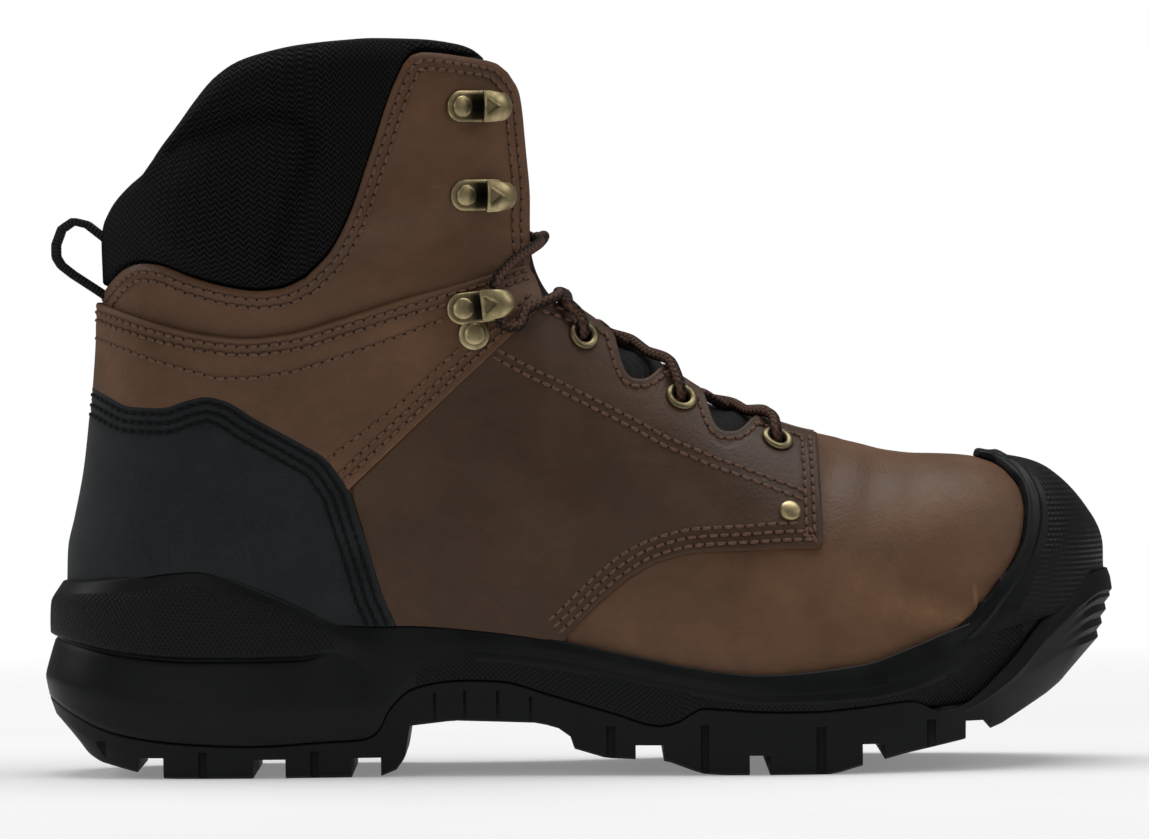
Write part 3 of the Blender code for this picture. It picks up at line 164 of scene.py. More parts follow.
# Side wall of the midsole, five levels from the parting line up: x, then height and offset of each level
MIDSOLE = (
    (-155, 23.3, -1.0, 29.0, 0.0, 40.7, -3.0, 50.3, -1.8, 56.0, -5.4),
    (-130, 12.5, -1.0, 24.0, 0.0, 36.0, -2.6, 51.0, -0.8, 58.0, -3.0),
    (-110, 10.3, -1.0, 22.0, 0.0, 34.6, -2.6, 52.6, -0.6, 60.0, -2.4),
    (-95, 9.6, -1.0, 21.0, 0.0, 34.6, -2.4, 50.0, -0.6, 55.2, -2.4),
    (-80, 9.8, -1.0, 21.0, 0.0, 34.8, -2.2, 45.0, -0.8, 48.8, -2.3),
    (-70, 10.8, -1.0, 21.0, 0.0, 36.0, -1.6, 41.0, -1.0, 44.3, -2.3),
    (-58, 13.5, -1.0, 20.2, 0.0, 30.0, -0.8, 38.0, -1.3, 43.4, -2.6),
    (-48, 25.4, -1.0, 29.4, 0.0, 33.0, -0.6, 38.0, -1.2, 43.3, -2.4),
    (-31, 27.9, -1.0, 33.8, 0.0, 36.0, -0.5, 38.6, -1.0, 42.0, -2.4),
    (-10, 23.8, -1.0, 32.0, 0.0, 34.0, -0.5, 36.5, -1.0, 39.2, -2.4),
    (17, 15.6, -1.0, 26.3, 0.0, 28.4, -0.5, 30.8, -1.0, 33.5, -2.4),
    (34, 19.5, -1.0, 23.2, 0.0, 25.2, -0.5, 27.6, -1.0, 30.2, -2.4),
    (51, 18.4, -1.0, 20.6, 0.0, 23.0, -0.5, 25.6, -1.0, 28.5, -2.4),
    (81, 19.3, -1.0, 21.4, 0.0, 24.2, -0.5, 27.6, -1.0, 31.1, -2.4),
    (96, 20.7, -1.0, 24.5, 0.0, 28.0, -0.6, 32.0, -1.2, 36.0, -2.4),
    (106, 18.8, -3.4, 28.0, -1.2, 32.0, -1.2, 36.0, -1.6, 39.8, -2.8),
    (116, 20.0, -4.0, 29.0, -3.4, 34.0, -3.3, 38.6, -3.2, 43.0, -3.6),
    (130, 24.4, -5.6, 31.0, -4.6, 37.0, -3.6, 42.0, -3.2, 46.5, -3.6),
    (155, 36.6, -10.0, 39.4, -7.6, 43.0, -5.5, 47.0, -3.8, 51.0, -3.6),
)

# Side wall of the outsole: x, offset of the floor edge, height and offset of the middle, offset of the top edge
OUTSOLE = (
    (-155, -9.0, 17.8, -2.8, -1.2),
    (-140, -5.0, 10.0, -2.2, -1.2),
    (-120, -3.0, 5.5, -1.8, -1.2),
    (-94, -2.4, 5.0, -1.6, -1.2),
    (-60, -2.4, 6.0, -1.6, -1.2),
    (-48, -2.8, 20.0, -1.8, -1.2),
    (-20, -2.8, 21.0, -1.8, -1.2),
    (0, -2.4, 14.0, -1.6, -1.2),
    (22, -2.2, 9.4, -1.5, -1.0),
    (34, -2.2, 10.0, -1.4, -1.0),
    (60, -2.2, 9.0, -1.4, -1.0),
    (85, -2.4, 11.0, -1.4, -1.0),
    (103, -3.0, 13.5, -1.2, -0.4),
    (115, -4.4, 18.5, -1.4, 0.0),
    (130, -8.0, 27.0, -2.2, 0.0),
    (145, -11.0, 33.5, -3.4, 0.0),
    (155, -13.0, 36.0, -4.2, 0.0),
)

# Places along the sole where its loops have points
STATIONS = (
    -153.8, -149.5, -142.0, -131.0, -117.0, -105.0, -91.0, -78.0, -62.5, -57.0, -53.0, -50.5, -49.0, -41.0, -30.0,
    -17.0, -3.6, -2.0, 8.0, 22.0, 34.0, 46.0, 60.0, 75.0, 88.5, 98.0, 107.0, 115.5, 123.5, 131.0, 138.0, 144.0,
    149.0, 153.0,
)

# Grooves across the tread: start, end, height of their top
CROSS_GROOVES = (
    (-127.4, -119.8, 6.0), (-94.0, -84.7, 5.4), (-65.8, -57.4, 5.6), (15.5, 23.5, 8.6), (47.9, 53.7, 5.6),
    (80.2, 86.6, 8.4), (110.1, 117.4, 14.2),
)

# Grooves along the tread: start, end, y, height of their top
LONG_GROOVES = (
    (-119.8, -65.8, -2.4, 4.6),
    (23.5, 80.2, -17.0, 5.4),
    (23.5, 80.2, 17.0, 5.4),
)
LONG_GROOVE_WIDTH = 6.0

# Ribs across the toe bumper: count, half depth, from which x, over which length
TOE_RIBS = (3.5, 0.5, 140.0, 10.0)

# Notches in the sides of the lugs: x, width, depth from the plan outline, height of their top
SIDE_NOTCHES = (
    (-138.0, 2.6, 4.6, 10.6),
    (-108.4, 2.4, 3.6, 7.6),
    (-76.4, 2.4, 3.6, 7.6),
    (-41.8, 0.9, 2.9, 24.0),
    (-33.2, 0.9, 2.9, 24.6),
    (-23.8, 0.9, 2.9, 24.4),
    (-14.4, 0.9, 2.9, 22.6),
    (8.4, 2.6, 3.4, 14.0),
    (35.2, 2.4, 3.4, 14.4),
    (68.3, 2.8, 3.4, 13.6),
    (100.0, 2.6, 3.6, 15.0),
)


# Interpolation
def blend(t, a, b, leave, reach):
    """Cubic from a to b at shares t, with the tangents leave and reach."""
    low = a * (1 + 2 * t) * (1 - t) ** 2 + leave * t * (1 - t) ** 2
    high = b * t * t * (3 - 2 * t) + reach * t * t * (t - 1)
    return low + high


def smooth(table, column=1):
    """Smooth curve without overshoot through a column of a table."""
    rows = np.array(table, float)
    at, value = rows[:, 0], rows[:, column]
    step = np.diff(at)
    slope = np.diff(value) / step
    tangent = np.zeros(len(at))
    tangent[0] = slope[0]
    tangent[-1] = slope[-1]
    for i in range(1, len(at) - 1):
        if slope[i - 1] * slope[i] > 0:
            one = 2 * step[i] + step[i - 1]
            two = step[i] + 2 * step[i - 1]
            tangent[i] = (one + two) / (one / slope[i - 1] + two / slope[i])

    def value_at(x):
        x = np.clip(np.asarray(x, float), at[0], at[-1])
        i = np.clip(np.searchsorted(at, x, side="right") - 1, 0, len(step) - 1)
        t = (x - at[i]) / step[i]
        return blend(t, value[i], value[i + 1], tangent[i] * step[i], tangent[i + 1] * step[i])

    return value_at


def straight(table):
    """Straight lines through the second column of a table."""
    rows = np.array(table, float)
    return lambda x: np.interp(x, rows[:, 0], rows[:, 1])


def end_curve(table, tip, tip_value):
    """Half width by the second column of a table, which closes like an ellipse at both tips of the length."""
    rows = [(row[0], row[1] / math.sqrt(1 - (row[0] / tip) ** 2)) for row in table]
    full = smooth([(-tip, tip_value[0])] + rows + [(tip, tip_value[1])])
    return lambda x: full(x) * np.sqrt(np.maximum(0.0, 1 - (np.asarray(x, float) / tip) ** 2))


def unit(t):
    return min(1.0, max(0.0, t))


def ease(t):
    t = np.clip(t, 0.0, 1.0)
    return t * t * (3 - 2 * t)


def round_off(t, power):
    return np.maximum(0.0, 1 - np.clip(t, 0.0, 1.0) ** power) ** (1 / power)


sole_half = end_curve(
    PLAN, HALF_LENGTH, (math.sqrt(HEEL_RADIUS * HALF_LENGTH), math.sqrt(TOE_RADIUS * HALF_LENGTH))
)
foot_half = end_curve(FOOT, TOE_TIP, (FOOT[0][1], math.sqrt(TOE_RADIUS * TOE_TIP)))
foot_power = smooth(FOOT, 2)
centre = smooth(PLAN, 2)
shaft_half = smooth(SHAFT, 1)
back_edge = smooth(SHAFT, 2)
ridge = smooth(RIDGE)
ridge_front = smooth([(z, x) for x, z in reversed(RIDGE)])
floor_level = smooth(FLOOR)
leather_line = smooth(LEATHER_LINE)
throat_line = smooth(THROAT_LINE)
column_shift = smooth(COLUMN_SHIFT)
ground = straight(GROUND)
parting = smooth(PARTING)
toe_tray = smooth(TOE_TRAY)


def feather(x):
    """Lower edge of the leather."""
    return floor_level(x) + 0.4


def tuck(x, z):
    """How far the leather draws back under the toe."""
    return TOE_TUCK * np.maximum(0.0, TOE_TUCK_BELOW - z) * ease((x - TOE_TUCK_FROM) / TOE_TUCK_OVER)


def half_width(x, z):
    """Half width of the bare leather at length x and height z, in millimetres."""
    x, z = np.broadcast_arrays(np.asarray(x, float), np.asarray(z, float))
    placed = x
    for _ in range(8):
        x = np.minimum(placed + tuck(x, z), TOE_TIP)
    low = feather(x)
    rise = np.clip((z - low) / np.maximum(ridge(x) - low, 1.0), 0.0, 1.0)
    foot = foot_half(x) * round_off(rise, foot_power(x))
    heel = round_off(1 - (x - back_edge(z)) / HEEL_ROUND, HEEL_POWER)
    front = round_off((x - SHAFT_MIDDLE) / (ridge_front(z) - SHAFT_MIDDLE), FRONT_POWER)
    shaft = shaft_half(z) * heel * front
    mix = ease((x - FOOT_LEAN * (z - FOOT_LEVEL) - FOOT_FROM) / FOOT_OVER)
    return shaft + (foot - shaft) * mix


# Edges of the panels: x, height
COUNTER_TOP = (
    (-138.3, 112.4), (-134.3, 110.3), (-127.1, 107.0), (-118.4, 106.6), (-111.1, 108.8), (-105.9, 109.8),
    (-100.9, 108.7), (-92.3, 103.4), (-80.7, 96.9), (-72.1, 91.5), (-65.8, 82.6),
)
ANKLE_TOP = (
    (-137.3, 136.6), (-129.7, 133.8), (-118.1, 130.1), (-106.5, 127.4), (-94.9, 126.1), (-83.3, 127.1),
    (-68.7, 131.0), (-51.2, 136.3), (-33.7, 140.8), (-22.1, 144.1), (-15.6, 146.0), (-9.6, 134.6),
)
QUARTER_LOW = (
    (-4.4, 39.0), (0.6, 43.6), (7.4, 49.9), (15.3, 56.2), (22.0, 59.9), (34.1, 62.8), (52.0, 63.5), (69.6, 64.2),
)
# Rear edge of the toe cap: height, x
CAP_REAR = (
    (39.0, 104.0), (44.4, 113.4), (52.7, 119.5), (59.0, 124.3), (66.3, 127.3), (74.4, 128.3), (79.4, 127.4),
    (83.7, 124.6), (87.0, 120.6), (89.0, 115.0),
)
# Low rear corner of the toe cap: x, height
CAP_CORNER = (99.5, 34.0)
CAP_THICKNESS = 1.9
# Smooth strip by the rear edge of the toe cap: extra thickness, width, run of its end
CAP_STRIP = (0.6, 6.6, 1.2)
# Bead in the strip: height, distance from the edge, half width
CAP_BEAD = (0.6, 5.8, 1.5)
# Swelling of the toe cap, and more of it by the middle of the toe
CAP_SWELL = 0.7
CAP_CROWN = 2.9
# Lower front end of the heel counter
COUNTER_FOOT = -52.6
COUNTER_THICKNESS = 2.0
ANKLE_THICKNESS = 2.0
QUARTER_THICKNESS = 1.4
# Places of the first points of a panel's mesh from its edge, and half width of the furrows along its stitch rows
EDGE_STEPS = (0.0, 0.2, 0.5, 0.9, 1.4)
FURROW = 0.9
# Least height of a panel's outer face, and height of its hidden face
PANEL_FACE = 0.12
PANEL_BACK = 0.1
# Distances of a pair of stitch rows, of the quarter's third row and of the counter's rows from their edges
PAIR_SEAMS = (2.3, 4.6)
THIRD_SEAM = 6.9
COUNTER_SEAMS = (2.2, 4.9, 7.5)

counter_top = smooth(COUNTER_TOP)
ankle_top = smooth(ANKLE_TOP)
quarter_low = smooth(QUARTER_LOW)
cap_rear = smooth(CAP_REAR)
# Crest between the smooth strip beside the leather and the knurled band: height and x at the toe, x and height behind
CAP_RIDGE = (
    (29, 108), (35, 116.8), (41.9, 122.9), (50.3, 128.8), (60.8, 133.2), (70.8, 135.4), (78, 134.6), (83.4, 132.3),
    (90.6, 121),
)
RAND_RIDGE = (
    (-58.1, 20.2), (-48.4, 29.4), (-40.8, 32.8), (-31.2, 33.8), (-21.6, 33.2), (-2.2, 30.3), (17.0, 26.3), (34.1, 23.2),
    (50.9, 20.8), (65.4, 20.6), (81.1, 21.4), (96.0, 24.5), (108.0, 29.0), (116.8, 35.0), (122.9, 41.9), (128.8, 50.3),
)
cap_ridge = smooth(CAP_RIDGE)
rand_ridge = smooth(RAND_RIDGE)

# Top line of the collar: x, height
COLLAR_TOP = (
    (-136.0, 163.8), (-134.5, 167.1), (-132.0, 169.9), (-126.6, 174.3), (-122.2, 180.4), (-115.8, 187.5),
    (-110.4, 193.7), (-103.6, 200.2), (-96.0, 204.4), (-88.0, 206.6), (-78.3, 208.6), (-64.9, 209.9),
    (-56.2, 210.4), (-42.2, 210.2), (-31.2, 209.0), (-27.4, 207.9), (-24.4, 206.0),
)
COLLAR_FOOT = 13.0
COLLAR_PAD = 8.0
# Depth of the collar behind the leather, and of its top edge
COLLAR_SINK = 2.9
COLLAR_ROLL = 2.6
# Swelling of the ankle bulge and of the front: height, run from the groove
BULGE = (2.9, 13.0)
FRONT_SWELL = (0.9, 6.0)
# Sewn groove: depth, half width
GROOVE = (1.5, 2.3)
BINDING_RADIUS = 2.1
BINDING_DROP = 1.5
COLLAR_COLUMNS = (
    0.0, 1.8, 5.6, 11.5, 19.0, 28.0, 38.0, 48.0, 57.0, 63.5, 69.5, 75.5, 81.5, 87.5, 95.5, 104.8,
)
# Sewn groove around the stuffed ankle bulge: x, height
COLLAR_GROOVE = (
    (-116.0, 180.5), (-108.0, 185.4), (-95.6, 189.2), (-83.5, 190.6), (-77.6, 187.6), (-76.0, 181.5), (-79.0, 173.0),
    (-82.4, 165.0), (-85.6, 156.0), (-86.6, 149.0),
)

collar_top = smooth(COLLAR_TOP)
flap_rear_height = smooth([(x, z) for z, x in FLAP_REAR])
flap_top = smooth(FLAP_TOP)

# Tongue: place on the ridge line, half width, extra depth in the middle
TONGUE = (
    (92.0, 16.0, 1.2), (78.0, 20.0, 1.4), (64.0, 23.0, 2.0), (57.0, 24.0, 1.0), (51.5, 24.8, 0.5),
    (49.0, 25.1, 1.2), (46.0, 25.3, 2.8), (42.0, 25.6, 3.4), (35.0, 26.1, 3.0), (29.0, 26.4, 1.4),
    (24.5, 26.5, 0.4), (21.5, 26.5, 1.4), (18.0, 26.5, 3.2), (13.0, 26.5, 3.5), (5.0, 25.6, 3.5), (-2.0, 25.0, 3.4),
    (-5.6, 25.0, 3.0), (-7.6, 25.4, 2.6), (-8.8, 26.0, 2.0), (-9.7, 26.0, 2.0), (-11.2, 26.0, 2.0),
)
TONGUE_GAP = 1.5
TONGUE_THICKNESS = 3.2

# Hardware: eyelets from the top one down and the rivet beside them by x and height
EYELETS = ((1.3, 125.0), (29.5, 106.6), (57.0, 94.1))
EYELET_HOLE = 3.4
RIVET_PLACE = (60.2, 74.0)
RIVET_RADIUS = 3.2
# Hooks: rivet x, height, direction of the hook in degrees, seat above the leather, second rivet along and across
HOOKS = {
    "hook_top": (-32.5, 191.6, 0.0, 0.4, None),
    "hook_middle": (-31.7, 166.2, 0.0, 0.4, None),
    "hook_ankle": (-33.2, 133.5, 6.0, PANEL_GAP + ANKLE_THICKNESS + 0.4, (2.4, -7.6)),
}
HOOK_RIVET = 3.2
HOOK_SINK = 0.4
# Plate of a hook: start, end, half width
HOOK_PLATE = (-4.8, 14.2, 4.6)
# Three-cornered recess of a hook's lip: its base and tip along the plate, half of its base, slope of its rim
RECESS_BASE = 4.8
RECESS_TIP = 9.2
RECESS_HALF = 3.0
RECESS_RIM = 0.35
# Middle line of a hook's curl: along the plate, height above the seat
HOOK_CURL = ((11.8, 0.8), (13.4, 1.6), (14.2, 3.4), (13.7, 5.3), (12.0, 6.5), (9.6, 7.0), (6.8, 7.0), (4.0, 6.75))

# Middle line of the pull loop: x, height
PULL_LOOP = (
    (-134.6, 153.6), (-138.1, 156.4), (-141.6, 159.2), (-145.6, 160.2), (-149.0, 157.9), (-150.7, 153.4),
    (-150.7, 149.9), (-149.2, 147.4), (-145.8, 144.7), (-138.3, 139.7), (-134.8, 137.2),
)
# Section of its webbing: across, through
WEBBING = ((-7.5, -0.6), (-7.2, -1.1), (7.2, -1.1), (7.5, -0.6), (7.5, 0.6), (7.2, 1.1), (-7.2, 1.1), (-7.5, 0.6))

# Scallops of the throat edge: start, end, depth
SCALLOPS = ((9.8, 25.2, 8.6), (35.6, 51.2, 7.6))


def scallop(x):
    """Depth of the scallops below the throat line."""
    dip = np.zeros(np.shape(x))
    for start, end, depth in SCALLOPS:
        across = np.clip(2 * (np.asarray(x) - start) / (end - start) - 1, -1.0, 1.0)
        dip = dip + depth * (1 - np.abs(across) ** 3) ** 1.5 * (1 - 0.5 * across)
    return dip


def throat_edge(x):
    """Throat line with its two scallops."""
    return throat_line(x) - scallop(x)


# Mesh helpers
def spread(knots, parts):
    """Knots with parts steps between each two."""
    knots = np.asarray(knots, float)
    steps = np.arange(parts * (len(knots) - 1) + 1) / parts
    return np.interp(steps, np.arange(len(knots)), knots)


def halved(inside, near, far):
    """Ends of the narrow span between near and far in which inside turns true."""
    for _ in range(40):
        middle = 0.5 * (near + far)
        hit = inside(middle)
        near, far = np.where(hit, near, middle), np.where(hit, middle, far)
    return near, far


def run_length(points, axis=0):
    """Length of a polyline, or of each line of a grid along an axis, up to each of its points."""
    steps = np.linalg.norm(np.diff(points, axis=axis), axis=-1)
    return np.concatenate([np.zeros_like(np.take(steps, [0], axis=axis)), np.cumsum(steps, axis=axis)], axis=axis)


def directions(line):
    """Unit directions along a polyline."""
    run = np.gradient(line, axis=0)
    return run / np.linalg.norm(run, axis=1, keepdims=True)


def place(t, points):
    """Places of a polyline at shares t of its length."""
    points = np.asarray(points, float)
    run = run_length(points)
    return np.stack([np.interp(t * run[-1], run, points[:, k]) for k in range(points.shape[1])], axis=-1)


def even(points, count):
    """Polyline resampled at count places."""
    return place(np.linspace(0.0, 1.0, count), points)


def traced(curve, start, end, count):
    """Side view points of a curve of x between two places."""
    return [(x, float(curve(x))) for x in np.linspace(start, end, count)]


def upright(curve, low, high, count):
    """Side view points of a curve of height between two heights."""
    return [(x, z) for z, x in traced(curve, low, high, count)]


def grid_normals(grid):
    """Unit normals of a grid of points, columns first."""
    normal = np.cross(np.gradient(grid, axis=0), np.gradient(grid, axis=1))
    length = np.linalg.norm(normal, axis=2, keepdims=True)
    return normal / np.maximum(length, 1e-9)


def grid_faces(columns, rows, start=0, flip=False):
    faces = []
    for c in range(columns - 1):
        for r in range(rows - 1):
            a = start + c * rows + r
            quad = (a, a + 1, a + rows + 1, a + rows)
            faces.append(quad[::-1] if flip else quad)
    return faces


def hoop_faces(hoops, count):
    """Quads between closed hoops of count points each."""
    faces = []
    for k in range(hoops - 1):
        for i in range(count):
            a, b = k * count + i, k * count + (i + 1) % count
            faces.append((a, b, b + count, a + count))
    return faces


def capped_faces(hoops, count):
    """Quads between closed hoops, and a face on the first and the last hoop."""
    ends = [tuple(range(count)), tuple(range((hoops - 1) * count, hoops * count))]
    return hoop_faces(hoops, count) + ends


def linked(name, data):
    """New object of the scene with the given data."""
    made = bpy.data.objects.new(name, data)
    bpy.context.scene.collection.objects.link(made)
    return made


def make_object(name, points, faces, look, merge=0.0, facing=True, uv=None, indices=None):
    """Mesh object from points in millimetres, with one UV for each point if given."""
    data = bpy.data.meshes.new(name)
    data.from_pydata((np.asarray(points, float) * MM).tolist(), [], faces)
    if uv is not None:
        layer = data.uv_layers.new(name="surface")
        corners = np.empty(len(data.loops), np.int32)
        data.loops.foreach_get("vertex_index", corners)
        layer.data.foreach_set("uv", np.asarray(uv, np.float32)[corners].ravel())
    for one in look if isinstance(look, (list, tuple)) else [look]:
        data.materials.append(one)
    if indices is not None:
        data.polygons.foreach_set("material_index", np.asarray(indices, np.int32))
    shape = bmesh.new()
    shape.from_mesh(data)
    if merge:
        bmesh.ops.remove_doubles(shape, verts=shape.verts, dist=merge * MM)
        bmesh.ops.dissolve_degenerate(shape, edges=shape.edges, dist=1e-7)
    if facing:
        bmesh.ops.recalc_face_normals(shape, faces=shape.faces)
    shape.to_mesh(data)
    shape.free()
    data.shade_smooth()
    return linked(name, data)


def joined(parts):
    """Points, faces and UVs of parts as one."""
    points, faces, uv = [], [], []
    for part_points, part_faces, part_uv in parts:
        faces += [tuple(len(points) + i for i in face) for face in part_faces]
        points += [tuple(p) for p in part_points]
        uv += [tuple(at) for at in part_uv]
    return points, faces, uv


def applied(made):
    """Turns an object's modifiers into a plain mesh."""
    bpy.context.view_layer.update()
    graph = bpy.context.evaluated_depsgraph_get()
    data = bpy.data.meshes.new_from_object(made.evaluated_get(graph), depsgraph=graph)
    made.modifiers.clear()
    made.data = data
    return made


def dressed(made, *nodes):
    """Ties a finished piece to the boot and hides the solids that it stands for."""
    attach(made, BODY)
    if nodes:
        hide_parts(*nodes)
    return made


def tube(path, radius, around):
    """Points, quads and UVs of a round tube along a polyline, with its ends drawn in to a point."""
    path = np.asarray(path, float)
    run = directions(path)
    side = np.cross(run[0], (0.0, 0.0, 1.0) if abs(run[0][2]) < 0.9 else (1.0, 0.0, 0.0))
    length = run_length(path)
    points, uv = [], []
    for k, (p, t) in enumerate(zip(path, run)):
        side = side - t * np.dot(side, t)
        side /= np.linalg.norm(side)
        other = np.cross(t, side)
        for i in range(around + 1):
            a = 2 * math.pi * i / around
            points.append(p + radius * (math.cos(a) * side + math.sin(a) * other))
            uv.append((length[k], i / around))
    faces = grid_faces(len(path), around + 1)
    first, last = len(points), len(points) + 1
    points += [path[0], path[-1]]
    uv += [(0.0, 0.5), (length[-1], 0.5)]
    end = (len(path) - 1) * (around + 1)
    for i in range(around):
        faces.append((first, i + 1, i))
        faces.append((last, end + i, end + i + 1))
    return points, faces, uv


# Materials
class Paint:
    """A material and short ways to add nodes to it."""

    def __init__(self, name, colour, roughness, metallic=0.0, coat=0.0, sheen=0.0, specular=0.5):
        self.material = bpy.data.materials.new(name)
        self.material.use_nodes = True
        self.tree = self.material.node_tree
        self.shader = self.tree.nodes["Principled BSDF"]
        settings = {"Base Color": (*colour, 1.0), "Roughness": roughness, "Metallic": metallic}
        settings |= {"Coat Weight": coat, "Coat Roughness": 0.35, "Sheen Weight": sheen, "Sheen Roughness": 0.5}
        settings |= {"Specular IOR Level": specular}
        for socket, value in settings.items():
            self.shader.inputs[socket].default_value = value

    def node(self, kind, inputs=(), **settings):
        made = self.tree.nodes.new(kind)
        for name, value in settings.items():
            setattr(made, name, value)
        for socket, value in inputs:
            self.put(made.inputs[socket], value)
        return made

    def put(self, socket, value):
        if isinstance(value, bpy.types.NodeSocket):
            self.tree.links.new(value, socket)
        else:
            socket.default_value = value

    def where(self):
        return self.node("ShaderNodeTexCoord").outputs["Object"]

    def uv(self):
        return self.node("ShaderNodeUVMap", uv_map="surface").outputs["UV"]

    def scaled(self, vector, scale, turn=(0.0, 0.0, 0.0)):
        made = self.node("ShaderNodeMapping", (("Vector", vector), ("Scale", scale), ("Rotation", turn)))
        return made.outputs["Vector"]

    def spot(self, vector, middle, sizes, turn=(0.0, 0.0, 0.0)):
        """1 at a place, falling to 0 at the half sizes of an ellipsoid around it."""
        moved = self.node("ShaderNodeVectorMath", ((0, vector), (1, middle)), operation="SUBTRACT").outputs["Vector"]
        shrunk = self.scaled(self.scaled(moved, (1.0, 1.0, 1.0), turn), tuple(1 / size for size in sizes))
        away = self.node("ShaderNodeVectorMath", ((0, shrunk),), operation="LENGTH").outputs["Value"]
        return self.ramp(away, (0.0, 1.0), (1.0, 0.0))

    def noise(self, vector, scale, detail=3.0, rough=0.55):
        inputs = (("Vector", vector), ("Scale", scale), ("Detail", detail), ("Roughness", rough))
        return self.node("ShaderNodeTexNoise", inputs).outputs["Fac"]

    def cells(self, vector, scale):
        return self.node("ShaderNodeTexVoronoi", (("Vector", vector), ("Scale", scale))).outputs["Distance"]

    def maths(self, operation, one, two=0.0, three=0.0):
        made = self.node("ShaderNodeMath", ((0, one), (1, two), (2, three)), operation=operation)
        return made.outputs[0]

    def axis(self, vector, name):
        return self.node("ShaderNodeSeparateXYZ", ((0, vector),)).outputs[name]

    def ramp(self, value, *stops):
        made = self.node("ShaderNodeValToRGB", ((0, value),))
        marks = made.color_ramp.elements
        while len(marks) < len(stops):
            marks.new(0.5)
        for mark, (at, colour) in zip(marks, stops):
            mark.position = at
            mark.color = (*colour, 1.0) if not isinstance(colour, float) else (colour, colour, colour, 1.0)
        return made.outputs["Color"]

    def mix(self, share, one, two):
        made = self.node("ShaderNodeMix", data_type="RGBA")
        self.put(made.inputs[0], share)
        for socket, value in ((6, one), (7, two)):
            self.put(made.inputs[socket], value if isinstance(value, bpy.types.NodeSocket) else (*value, 1.0))
        return made.outputs[2]

    def wave(self, value, length):
        """Rounded wave from 0 to 1 along a value, with the given length."""
        turned = self.maths("MULTIPLY", value, 2 * math.pi / length)
        return self.maths("MULTIPLY_ADD", self.maths("SINE", turned), 0.5, 0.5)

    def colour(self, value):
        self.put(self.shader.inputs["Base Color"], value)

    def roughness(self, value):
        self.put(self.shader.inputs["Roughness"], value)

    def bump(self, height, depth, strength=1.0, under=None):
        inputs = [("Height", height), ("Distance", depth), ("Strength", strength)]
        if under is not None:
            inputs.append(("Normal", under))
        out = self.node("ShaderNodeBump", inputs).outputs["Normal"]
        self.put(self.shader.inputs["Normal"], out)
        return out


def tinted(colour, factor, lift=0.0):
    """Colour made paler or darker."""
    return tuple(min(1.0, factor * c + lift) for c in colour)


# Worn spots of the vamp: middle, half sizes, turn about Y, share of the pale colour
WORN_SPOTS = (
    ((0.0990, -0.0430, 0.0455), (0.0200, 0.0300, 0.0070), -0.25, 0.55),
    ((0.0800, -0.0480, 0.0520), (0.0130, 0.0300, 0.0140), 0.6, 0.35),
    ((0.1000, -0.0300, 0.0760), (0.0260, 0.0400, 0.0100), 0.2, 0.35),
)
# Nicks of the vamp: middle, half sizes, turn about Y
NICKS = (
    ((0.1135, -0.0420, 0.0490), (0.0010, 0.0200, 0.0060), 0.12),
    ((0.1105, -0.0430, 0.0425), (0.0040, 0.0200, 0.0007), -0.45),
)


def leather_look(name, colours, tone=1.0, worn=False):
    """Pull-up leather: cloudy brown, fine grain, small pores and a waxy sheen."""
    base = tinted(colours.leather, tone)
    paint = Paint(name, base, 0.5, coat=0.03, specular=0.3)
    at = paint.where()
    cloud = paint.noise(at, 30.0, 4.0, 0.55)
    patch = paint.noise(paint.scaled(at, (1.0, 1.0, 1.5)), 160.0, 3.0)
    dark = tinted(base, 0.74)
    pale = tinted(base, 1.34, 0.004)
    body = paint.ramp(cloud, (0.30, dark), (0.52, base), (0.76, pale))
    body = paint.mix(0.22, body, paint.ramp(patch, (0.35, dark), (0.65, pale)))
    scratch = paint.noise(paint.scaled(at, (30.0, 300.0, 1400.0), (0.3, 0.5, 0.2)), 1.0, 2.0, 0.5)
    body = paint.mix(paint.ramp(scratch, (0.69, 0.0), (0.76, 0.35)), body, pale)
    if worn:
        tan = (2.0 * base[0], 2.1 * base[1], 2.1 * base[2])
        for middle, sizes, turn, share in WORN_SPOTS:
            spot = paint.spot(at, middle, sizes, (0.0, turn, 0.0))
            rubbed = paint.maths("MULTIPLY", spot, paint.noise(at, 420.0, 4.0))
            body = paint.mix(paint.maths("MULTIPLY", rubbed, 2.0 * share), body, tan)
        for middle, sizes, turn in NICKS:
            body = paint.mix(paint.spot(at, middle, sizes, (0.0, turn, 0.0)), body, (0.26, 0.12, 0.05))
    paint.colour(body)
    grain = paint.cells(at, 900.0)
    pores = paint.cells(at, 2400.0)
    fold = paint.noise(paint.scaled(at, (1.0, 1.0, 0.6)), 260.0, 5.0, 0.7)
    height = paint.maths("MULTIPLY_ADD", grain, 0.5, paint.maths("MULTIPLY_ADD", pores, 0.35, fold))
    paint.bump(height, 0.00030, 0.5)
    paint.roughness(paint.ramp(cloud, (0.3, 0.44), (0.7, 0.58)))
    return paint.material


def nubuck_look(name, colours):
    """Grey nubuck: soft nap with lighter strokes."""
    paint = Paint(name, colours.counter, 0.85, sheen=0.06, specular=0.2)
    at = paint.where()
    nap = paint.noise(at, 90.0, 5.0, 0.65)
    fine = paint.noise(at, 1900.0, 2.0)
    pale = tinted(colours.counter, 1.5, 0.002)
    dark = tinted(colours.counter, 0.7)
    body = paint.ramp(nap, (0.3, dark), (0.5, tuple(colours.counter)), (0.72, pale))
    paint.colour(paint.mix(0.55, body, paint.ramp(fine, (0.3, dark), (0.7, pale))))
    paint.bump(paint.maths("MULTIPLY_ADD", fine, 0.6, nap), 0.00022, 0.6)
    return paint.material


